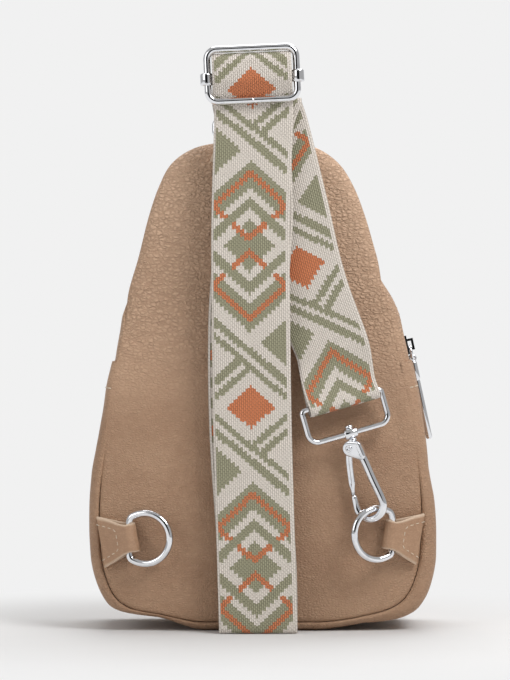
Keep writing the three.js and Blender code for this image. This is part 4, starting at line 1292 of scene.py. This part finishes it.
strap_frame = Matrix.Translation(Vector(hook_place)) @ turned("Y", -strap_lean)
bail_frame = strap_frame @ turned("Z", bail_yaw)


def turned_in(rise):
    """The strap's own frame above the bail: it turns from the bail's direction to its own."""
    share = float(smooth(rise, 6, slant_rise))
    inset = Matrix.Translation((0, slant_inset * share, 0))
    return strap_frame @ inset @ turned("Z", mixed(bail_yaw, slant_yaw, share))


def shift_at(rise):
    return mixed(bail_shift, slant_shift, float(smooth(rise, 6, slant_rise)))


half_pitch = strap_thickness / 2 + slack
bail_wrap = bail_wire / 2 + 0.3 + strap_thickness / 2
for rise, loose in ((26, 0), (17, 0), (8, 0.4)):
    station(turned_in(rise), half_pitch + loose, bail_height + rise, strap_at_bail, shift_at(rise))
wrap(bail_frame, 0, bail_height - 1.0, bail_wrap + 0.9, 0, -180, 6, strap_at_bail, bail_shift)
for rise, loose in ((8, 0.4), (17, 0), (26, 0), (slant_rise, 0)):
    station(turned_in(rise), -half_pitch - loose, bail_height + rise, strap_at_bail, shift_at(rise))
slant_start = stations[-1][0].copy()
slant_top = top_fold - 16


def slant_x(z):
    return slant_start.x - (z - slant_start.z) * math.tan(math.radians(strap_lean))


for share in (0.3, 0.65, 1):
    z = mixed(slant_start.z, slant_top, share)
    slant = leaned(slant_x(z), z, strap_lean, slant_yaw * (1 - share))
    station(slant, mixed(slant_start.y, top_layer_y(0), share), 0)
slant_last = len(stations) - 1
fold_bend = layer_pitch / 2
down_x = slant_x(top_fold) - 2 - slant_shift
wrap(leaned(slant_x(top_fold), top_fold, strap_lean / 2), top_layer_y(0.5), -fold_bend, fold_bend, 0, 180, 4)
station(leaned(down_x, slant_top), top_layer_y(1), 0)
upper_z, lower_z = mixed(slant_top, panel_middle[2], 0.3), mixed(slant_top, panel_middle[2], 0.62)
foot_z = seam_base + 30
station(leaned(down_x, upper_z), mixed(top_layer_y(1), layer_y(0), 0.55), 0)
for x, z in ((down_x - 3.9, lower_z), (down_x - 3.4, panel_middle[2]), (-1.8, foot_z)):
    station(leaned(x, z), layer_y(0), 0)
wrap(leaned(-1.4, slack + strap_thickness / 2 + fold_bend), layer_y(0.5), 0, fold_bend, 0, -180, 6)
front_first = len(stations)
for x, z in ((-2.4, foot_z), (-4.9, panel_middle[2]), (-5.9, lower_z)):
    station(leaned(x, z), layer_y(1), 0)
station(leaned(-6.1, upper_z), mixed(top_layer_y(2), layer_y(1), 0.55), 0)
print("stations up to the adjuster:", len(stations))

# %% [markdown]
# At the adjuster the webbing goes behind the frame's lower bar, over the sliding bar and down behind to the top
# ring. From there it comes back up to the sliding bar, where its end is sewn. The tight turns are short arcs.

# %% Strap route through the adjuster
adjuster_frame = Matrix.Translation(Vector(adjuster_place)) @ turned("Y", -adjuster_tilt)
below_frame = adjuster_wire / 2 + 0.3 + strap_thickness / 2
sewn_wrap = bar_wire / 2 + slack + strap_thickness / 2
over_sewn = sewn_wrap + strap_thickness + slack
weave_angle = math.degrees(math.asin((below_frame + over_sewn) / (frame_half_height - bar_drop)))
station(adjuster_frame, below_frame + 0.4, -frame_half_height - 7, strap_at_frames)
wrap(adjuster_frame, 0, -frame_half_height, below_frame, 0, weave_angle, 3, strap_at_frames)
wrap(adjuster_frame, 0, -bar_drop, over_sewn, 180 + weave_angle, 180, 3, strap_at_frames)
for y, z in ((-over_sewn, 4), (-over_sewn + 1.2, 10.2), (2.4, 12.9), (9, 12.4), (15, 2)):
    station(adjuster_frame, y, z, strap_at_frames)
loop_wrap = top_wire / 2 + 0.3 + strap_thickness / 2
hang = leaned(adjuster_place[0], ring_top, adjuster_tilt / 2)
station(hang, top_ring_y + loop_wrap + 0.4, 16, strap_at_frames)
wrap(leaned(adjuster_place[0], ring_top), top_ring_y, 0, loop_wrap, 0, -180, 6, strap_at_ring)
station(hang, top_ring_y - loop_wrap + 0.4, 10, strap_at_frames)
station(adjuster_frame, 11.4, -12.4, strap_at_frames)
station(adjuster_frame, 6.4, -bar_drop + 0.6, strap_at_frames)
wrap(adjuster_frame, 0, -bar_drop, sewn_wrap, 75, 285, 7, strap_at_frames)
station(adjuster_frame, 4.6, -bar_drop - sewn_wrap + 0.1, strap_at_frames)
print("stations in all:", len(stations))

# %% [markdown]
# The ribbon has two faces and two rounded selvedges. Its UV map counts across and along the webbing, and shifts
# slowly where a layer is hidden, so that the diamonds land where the photograph shows them.

# %% Strap ribbon
ribbon_spacing, ribbon_columns = 1.6, 24
selvedge_reach, selvedge_share = 1.006, 0.55


def strap_ribbon(name):
    """The ribbon, its middle line, the distance along it, its U coordinates and its place among the stations."""
    centre = spline([tuple(s[0]) for s in stations], closed=False)
    last = len(stations) - 1
    fine = np.linspace(0, 1, 12001)
    travelled = np.concatenate([[0], np.cumsum(np.linalg.norm(np.diff(centre(fine), axis=0), axis=1))])
    count = int(travelled[-1] / ribbon_spacing)
    shares = np.interp(np.linspace(0, travelled[-1], count + 1), travelled, fine)
    distance = np.interp(shares, fine, travelled)
    at = centre(shares)
    ahead = centre(np.minimum(shares + 1e-4, 1)) - centre(np.maximum(shares - 1e-4, 0))
    ahead /= np.linalg.norm(ahead, axis=1, keepdims=True)
    numbers = np.arange(last + 1) / last
    across = np.stack([np.interp(shares, numbers, [s[1][k] for s in stations]) for k in range(3)], 1)
    across /= np.linalg.norm(across, axis=1, keepdims=True)
    half = np.interp(shares, numbers, [s[2] for s in stations]) / 2
    normal = np.cross(ahead, across)
    normal /= np.linalg.norm(normal, axis=1, keepdims=True)
    sides = np.linspace(-1, 1, ribbon_columns + 1)
    thick = strap_thickness / 2
    front = [(s, thick * (1 if abs(s) < 1 else selvedge_share)) for s in sides] + [(selvedge_reach, 0.0)]
    section = front + [(-s, -lift) for s, lift in front]
    spread, lift = np.array(section).T
    points = at[:, None] + across[:, None] * (spread[None, :, None] * half[:, None, None])
    points = points + normal[:, None] * lift[None, :, None]
    rows, width = points.shape[:2]
    faces = grid_faces(rows, width, wrap_columns=True)
    faces += [tuple(range(width))[::-1], tuple((rows - 1) * width + k for k in range(width))]
    piece = link_mesh(name, points.reshape(-1, 3), faces)
    return piece, at, distance, np.clip(spread, -1, 1) / 2 + 0.5, shares * last


strap, strap_at, strap_distance, strap_u, strap_station = strap_ribbon("shoulder_strap_webbing")
strap_length = float(strap_distance[-1])
period = pattern_repeat * pattern_step
front_diamond_z, slant_diamond_z, slant_stretch = 139.1, 225.3, 0.05
on_front = strap_station >= front_first
on_slant = (strap_station <= slant_last) & (strap_distance > 60)
front_zero = float(np.interp(front_diamond_z, strap_at[on_front][:120, 2], strap_distance[on_front][:120]))
slant_zero = float(np.interp(slant_diamond_z, strap_at[on_slant][:, 2], strap_distance[on_slant]))
front_zero = front_zero - period * round((front_zero - slant_zero) / period)
hidden = smooth(strap_distance, strap_distance[on_slant][-1] + 20, strap_distance[on_front][0] - 20)
stretch = np.minimum(strap_distance - slant_zero, 0) * slant_stretch
pattern_place = strap_distance - (slant_zero + (front_zero - slant_zero) * hidden) + 2 * period - stretch
set_uv(strap, "webbing", strap_u, pattern_place / strap_length)
webbing = jacquard("jacquard_webbing", strap_length)
set_finish(strap, webbing, "bag")
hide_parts("shoulder_strap")
print("strap", round(strap_length), "mm long,", len(strap.data.polygons), "faces")

# %% [markdown]
# The metal parts are bent from round wire. In CAD the wire has few sides, which mirror the room in flat facets.
# So each one is drawn again on the same axis with a finer section. A section swept along a path gives an even
# wire, and a profile spun round an axis gives the turned parts, such as the swivel pin, the rivet and the collars.

# %% Wire and turned parts
def end_faces(rows, sides):
    """The two faces that close the ends of a tube of rows of points."""
    return [tuple(range(sides)), tuple((rows - 1) * sides + k for k in range(sides))[::-1]]


def swept_wire(points, radii, closed, flat=(0, 1, 0), sides=20):
    """Points and faces of a wire along a flat path, in millimetres. Open ends are rounded off."""
    points, flat = np.asarray(points, float), np.array(flat, float)
    radii = np.broadcast_to(radii, len(points)).astype(float)
    if closed:
        ahead = np.roll(points, -1, axis=0) - np.roll(points, 1, axis=0)
    else:
        ahead = np.gradient(points, axis=0)
    ahead /= np.linalg.norm(ahead, axis=1, keepdims=True)
    if not closed:
        turns = np.radians([75, 50, 25])
        low = [points[0] - ahead[0] * radii[0] * math.sin(t) for t in turns]
        high = [points[-1] + ahead[-1] * radii[-1] * math.sin(t) for t in turns[::-1]]
        shrunk = np.cos(turns)
        points = np.vstack([low, points, high])
        radii = np.concatenate([radii[0] * shrunk, radii, radii[-1] * shrunk[::-1]])
        ahead = np.vstack([[ahead[0]] * 3, ahead, [ahead[-1]] * 3])
    beside = np.cross(ahead, flat)
    angles = np.linspace(0, 2 * math.pi, sides, endpoint=False)
    ring = beside[:, None] * np.cos(angles)[None, :, None] + flat * np.sin(angles)[None, :, None]
    mesh = points[:, None] + ring * radii[:, None, None]
    faces = grid_faces(len(points), sides, wrap_rows=closed, wrap_columns=True)
    if not closed:
        faces += end_faces(len(points), sides)
    return mesh.reshape(-1, 3), faces


def spun(profile, axis="Z", at=(0, 0, 0), sides=28):
    """Points and faces of a profile of radius and height pairs, spun round an axis through a point."""
    order = {"X": (2, 0, 1), "Y": (1, 2, 0), "Z": (0, 1, 2)}[axis]
    angles = np.linspace(0, 2 * math.pi, sides, endpoint=False)
    points = []
    for radius, height in profile:
        for a in angles:
            local = (radius * math.cos(a), radius * math.sin(a), height)
            points.append([local[order[k]] + at[k] for k in range(3)])
    faces = grid_faces(len(profile), sides, wrap_columns=True)
    return np.array(points), faces + end_faces(len(profile), sides)


def rounded_bar(radius, low, high, edge=0.5):
    """The profile of a short bar with rounded rims."""
    turns = np.radians([0, 30, 60, 90])
    foot = [(radius - edge + edge * math.sin(t), low + edge - edge * math.cos(t)) for t in turns]
    top = [(radius - edge + edge * math.cos(t), high - edge + edge * math.sin(t)) for t in turns]
    return [(radius * 0.3, low)] + foot + top + [(radius * 0.3, high)]


def metal_piece(name, parts, place, node, body):
    """Joins the parts of one metal piece, sets it in its place and lets it stand in for its CAD node."""
    points, faces = [], []
    for some, ends in parts:
        start = sum(len(p) for p in points)
        points.append(some)
        faces += [tuple(start + k for k in face) for face in ends]
    piece = link_mesh(name, np.vstack(points), faces, scale=1.0)
    piece.data.transform(Matrix.Scale(mm, 4) @ place)
    outward_normals(piece.data)
    piece.data.polygons.foreach_set("use_smooth", [True] * len(piece.data.polygons))
    set_finish(piece, chrome, body)
    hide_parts(node)
    return piece


wire_spacing = 1.5


def frame_points(half_width, bottom, top, low_radius, high_radius, steps=12):
    """A closed rounded rectangle in the XZ plane."""
    corners = [(half_width - low_radius, bottom + low_radius, low_radius, -90),
               (half_width - high_radius, top - high_radius, high_radius, 0),
               (high_radius - half_width, top - high_radius, high_radius, 90),
               (low_radius - half_width, bottom + low_radius, low_radius, 180)]
    points = []
    for x, z, radius, start in corners:
        for angle in np.radians(np.linspace(start, start + 90, steps)):
            points.append((x + radius * math.cos(angle), 0, z + radius * math.sin(angle)))
    points = np.array(points)
    filled = []
    for p, q in zip(points, np.roll(points, -1, axis=0)):
        count = max(1, int(np.linalg.norm(q - p) / wire_spacing))
        filled += [p + (q - p) * k / count for k in range(count)]
    return np.array(filled)


def plate(circles, half, edge, steps=72):
    """A plate in the XZ plane round some circles of centre and radius, with rounded rims."""
    rim = [(edge * 3, half), (edge, half), (edge * 0.3, half - edge * 0.3), (0, half - edge)]
    profile = [(inset, -y) for inset, y in rim] + rim[::-1]
    rows = []
    for inset, y in profile:
        for angle in np.linspace(0, 2 * math.pi, steps, endpoint=False):
            way = (math.cos(angle), math.sin(angle))
            x, z, radius = max(circles, key=lambda c: c[0] * way[0] + c[1] * way[1] + c[2])
            rows.append((x + (radius - inset) * way[0], y, z + (radius - inset) * way[1]))
    faces = grid_faces(len(profile), steps, wrap_columns=True)
    return np.array(rows), faces + end_faces(len(profile), steps)


def moved(x, y, z):
    return Matrix.Translation((x, y, z))


print("wire helpers ready")

# %% [markdown]
# Each D-ring turns on its straight bar inside the tab. The snap hook swivels on a pin through the bail's boss,
# and its gate turns on a rivet. Every piece rides its own body, so it moves with its joint.

# %% D-rings and snap hook
ring_poses = {  # side, lift in degrees, drop, radius, and distance from the bar to the bow's middle
    "left": (-1, 12.0, left_drop, 15.5, 10.2),
    "right": (1, 25.0, -1.0, 15.7, 10.3),
}
for label, (side, lift, drop, radius, offset) in ring_poses.items():
    bar_angle = math.acos(offset / radius) + 0.12
    bow = [(radius * math.cos(a) - offset, 0, radius * math.sin(a))
           for a in np.linspace(bar_angle, 2 * math.pi - bar_angle, 23)]
    half_bar = math.sqrt(radius**2 - offset**2) - ring_wire * 0.55
    bow += [(0, 0, share * half_bar) for share in (-1, -0.33, 0.33, 1)]
    curve = spline(bow, closed=True)(np.linspace(0, 1, 140, endpoint=False))
    place = moved(side * ring_bar[0], ring_bar[1], ring_bar[2] - drop) @ turned("Z", side * lift)
    if side < 0:
        place = place @ turned("Z", 180)
    wire = swept_wire(curve, ring_wire / 2, True)
    metal_piece(f"d_ring_{label}_wire", [wire], place, f"d_ring_{label}", f"{label}_ring")

bail_half, bail_round = 26.0, 3.7
boss_half_width, boss_half_depth, boss_half_height = 4.3, 3.1, 3.3
boss = spun(rounded_bar(boss_half_depth, -boss_half_width, boss_half_width, 0.9), "X")
boss[0][:, 2] *= boss_half_height / boss_half_depth
bail = swept_wire(frame_points(bail_half, 0, bail_height, 6.0, 2.2), bail_round / 2, True)
metal_piece("hook_bail_wire", [bail, boss], bail_frame, "hook_bail", "bail")

hook_wire, hook_length, bow_radius, hook_turn = 4.9, 54.4, 9.0, -26.0
hook_frame = strap_frame @ turned("Z", hook_turn)
bow_middle = np.array([-0.6, 0, bow_radius - hook_length])
nose_top = bow_middle[2] + bow_radius * 0.72
spine = [(-0.4, 0, -8.6), (1.4, 0, -11), (3.4, 0, -16), (5.8, 0, -30)]
for i in range(11):
    angle = math.radians(8 - 18.8 * i)
    spine.append(tuple(bow_middle + bow_radius * np.array([math.cos(angle), 0, math.sin(angle)])))
nose_x = bow_middle[0] - bow_radius * 0.97
spine.append((nose_x, 0, nose_top))
shares = np.linspace(0, 1, 150)
spine_radii = hook_wire / 2 * (1 + 0.22 * (1 - smooth(shares, 0.0, 0.25)) - 0.16 * smooth(shares, 0.88, 1.0))
pivot = np.array([-2.5, 0, -8.8])
lobe = plate([(-2.3, -9.0, 4.9), (2.6, -8.2, 2.6), (3.6, -15.0, 2.5)], 3.1, 0.9)
pin = spun([(0.4, -8.0), (1.6, -8.0), (1.6, 3.5), (2.5, 3.6), (2.7, 4.2), (2.4, 5.0), (1.4, 5.5), (0.3, 5.6)])
neck = spun(rounded_bar(3.0, -5.2, -3.5, 0.5))
spine_wire = swept_wire(spline(spine, closed=False)(shares), spine_radii, False)
metal_piece("hook_body_wire", [spine_wire, lobe, pin, neck], hook_frame, "hook_body", "hook")
rivet = [spun([(0.2, 3.2), (0.9, 3.2), (1.15, 3.75), (1.7, 3.95), (2.1, 3.6), (2.15, 3.0)], "Y", pivot)]
rivet.append((rivet[0][0] * (1, -1, 1), rivet[0][1]))
metal_piece("gate_rivet_head", rivet, hook_frame, "gate_rivet", "hook")

gate_wire, gate_gap = 2.56, 2.1
shares = np.linspace(0, 1, 60)
gate_stops = [pivot + (-1.6, 0, -1), (-6.1, 0, -17), (nose_x, 0, nose_top + gate_gap)]
gate_line = spline(gate_stops, closed=False)(shares)
gate_spread = smooth(shares, 0.06, 0.2) * (1 - smooth(shares, 0.82, 0.96))
gate_parts = [swept_wire(gate_line + np.outer(gate_spread * side, (1, 0, 0)), gate_wire / 2, False)
              for side in (-1, 1)]
gate_parts.append(spun(rounded_bar(3.1, -1.5, 1.5, 0.4), "Y", pivot))
metal_piece("hook_gate_wire", gate_parts, hook_frame, "hook_gate", "gate")
print("hook", hook_length, "mm long")

# %% [markdown]
# The adjuster is a closed frame with a sliding bar across it. A thin weld line shows where its wire was joined,
# made here by a short waist in the wire. Two collars carry the bar along the frame's sides.

# %% Adjuster, top ring and zipper pull
frame_half_width, frame_round, weld_half, weld_reach, weld_depth = 27.5, 6.0, 1.7, 0.3, 0.14
loop_line = frame_points(frame_half_width, -frame_half_height, frame_half_height, frame_round, frame_round)
at_weld = (np.abs(loop_line[:, 0]) < weld_half) & (loop_line[:, 2] < 0)
first = np.argmax(at_weld)
fine = np.linspace(0.1 - weld_half, weld_half - 0.1, 13)
low_bar = np.stack([fine, 0 * fine, 0 * fine - frame_half_height], 1)
loop_line = np.vstack([loop_line[:first], low_bar, loop_line[first:][~at_weld[first:]]])
waist = weld_depth * np.exp(-((loop_line[:, 0] / weld_reach) ** 2)) * (loop_line[:, 2] < 0)
loop_radii = adjuster_wire / 2 * (1 - waist)
frame_wire = swept_wire(loop_line, loop_radii, True)
metal_piece("adjuster_frame_wire", [frame_wire], adjuster_frame, "adjuster_frame", "bag")
collar_radius, collar_half = 3.9, 3.8
collar = rounded_bar(collar_radius, -collar_half, collar_half, 1.0)
slide = [spun(rounded_bar(bar_wire / 2, -frame_half_width, frame_half_width, 0.2), "X", (0, 0, -bar_drop))]
slide += [spun(collar, "Z", (side * (frame_half_width + 0.7), 0, -bar_drop)) for side in (-1, 1)]
metal_piece("adjuster_bar_collars", slide, adjuster_frame, "adjuster_bar", "bag")
top_half, top_height, top_round = strap_at_ring / 2 + 1.9, 9.0, 2.4
top_wire_line = swept_wire(frame_points(top_half, 0, top_height, top_round, top_round), top_wire / 2, True)
metal_piece("top_ring_wire", [top_wire_line], moved(*top_ring_place), "top_ring", "bag")

slider_height, pull_ring_radius, pull_ring_wire, eye_radius, eye_wire = 9, 4.05, 1.8, 2.0, 1.5
slider_at, slider_along, slider_out = (v[0] for v in on_seam(np.array([seam_share_at(gusset_top + slider_height)])))
slider_frame = Matrix.Translation(Vector(slider_at + slider_out * side_bulge))
axes = Matrix((slider_out, (0, 1, 0), slider_along)).transposed().to_4x4()
pull_ring_frame = slider_frame @ axes @ moved(2.8, 0, -0.92)
circle = np.linspace(0, 2 * math.pi, 48, endpoint=False)
ring_line = np.stack([0 * circle, np.sin(circle), np.cos(circle) - 1], 1) * pull_ring_radius
zip_ring = swept_wire(ring_line, pull_ring_wire / 2, True, flat=(1, 0, 0), sides=12)
metal_piece("zip_ring_wire", [zip_ring], pull_ring_frame, "zip_ring", "pull_ring")
pull_profile = [(0.4, -52.0), (1.7, -51.6), (2.05, -50.6), (1.95, -15), (1.7, -14.2), (2.0, -13.6), (2.4, -12.6),
                (2.3, -3.0), (1.8, -1.6), (0.4, -1.2)]
eye_line = np.stack([np.sin(circle), 0 * circle, np.cos(circle)], 1) * eye_radius
eye = swept_wire(eye_line, eye_wire / 2, True, sides=10)
pull_frame = pull_ring_frame @ moved(0, 0, -2 * pull_ring_radius) @ turned("Y", 0.3)
metal_piece("zip_pull_bar", [spun(pull_profile), eye], pull_frame, "zip_pull", "pull")
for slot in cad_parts["zip_slider"].material_slots:
    slot.material = chrome
print("adjuster", round(2 * frame_half_width), "mm wide")

# %% [markdown]
# The shapes that were only copied from are removed, because everything left in the scene counts as part of the
# bag.

# %% Removing the copied shapes
for shape in (stitch, tooth_pair):
    bpy.data.objects.remove(shape)
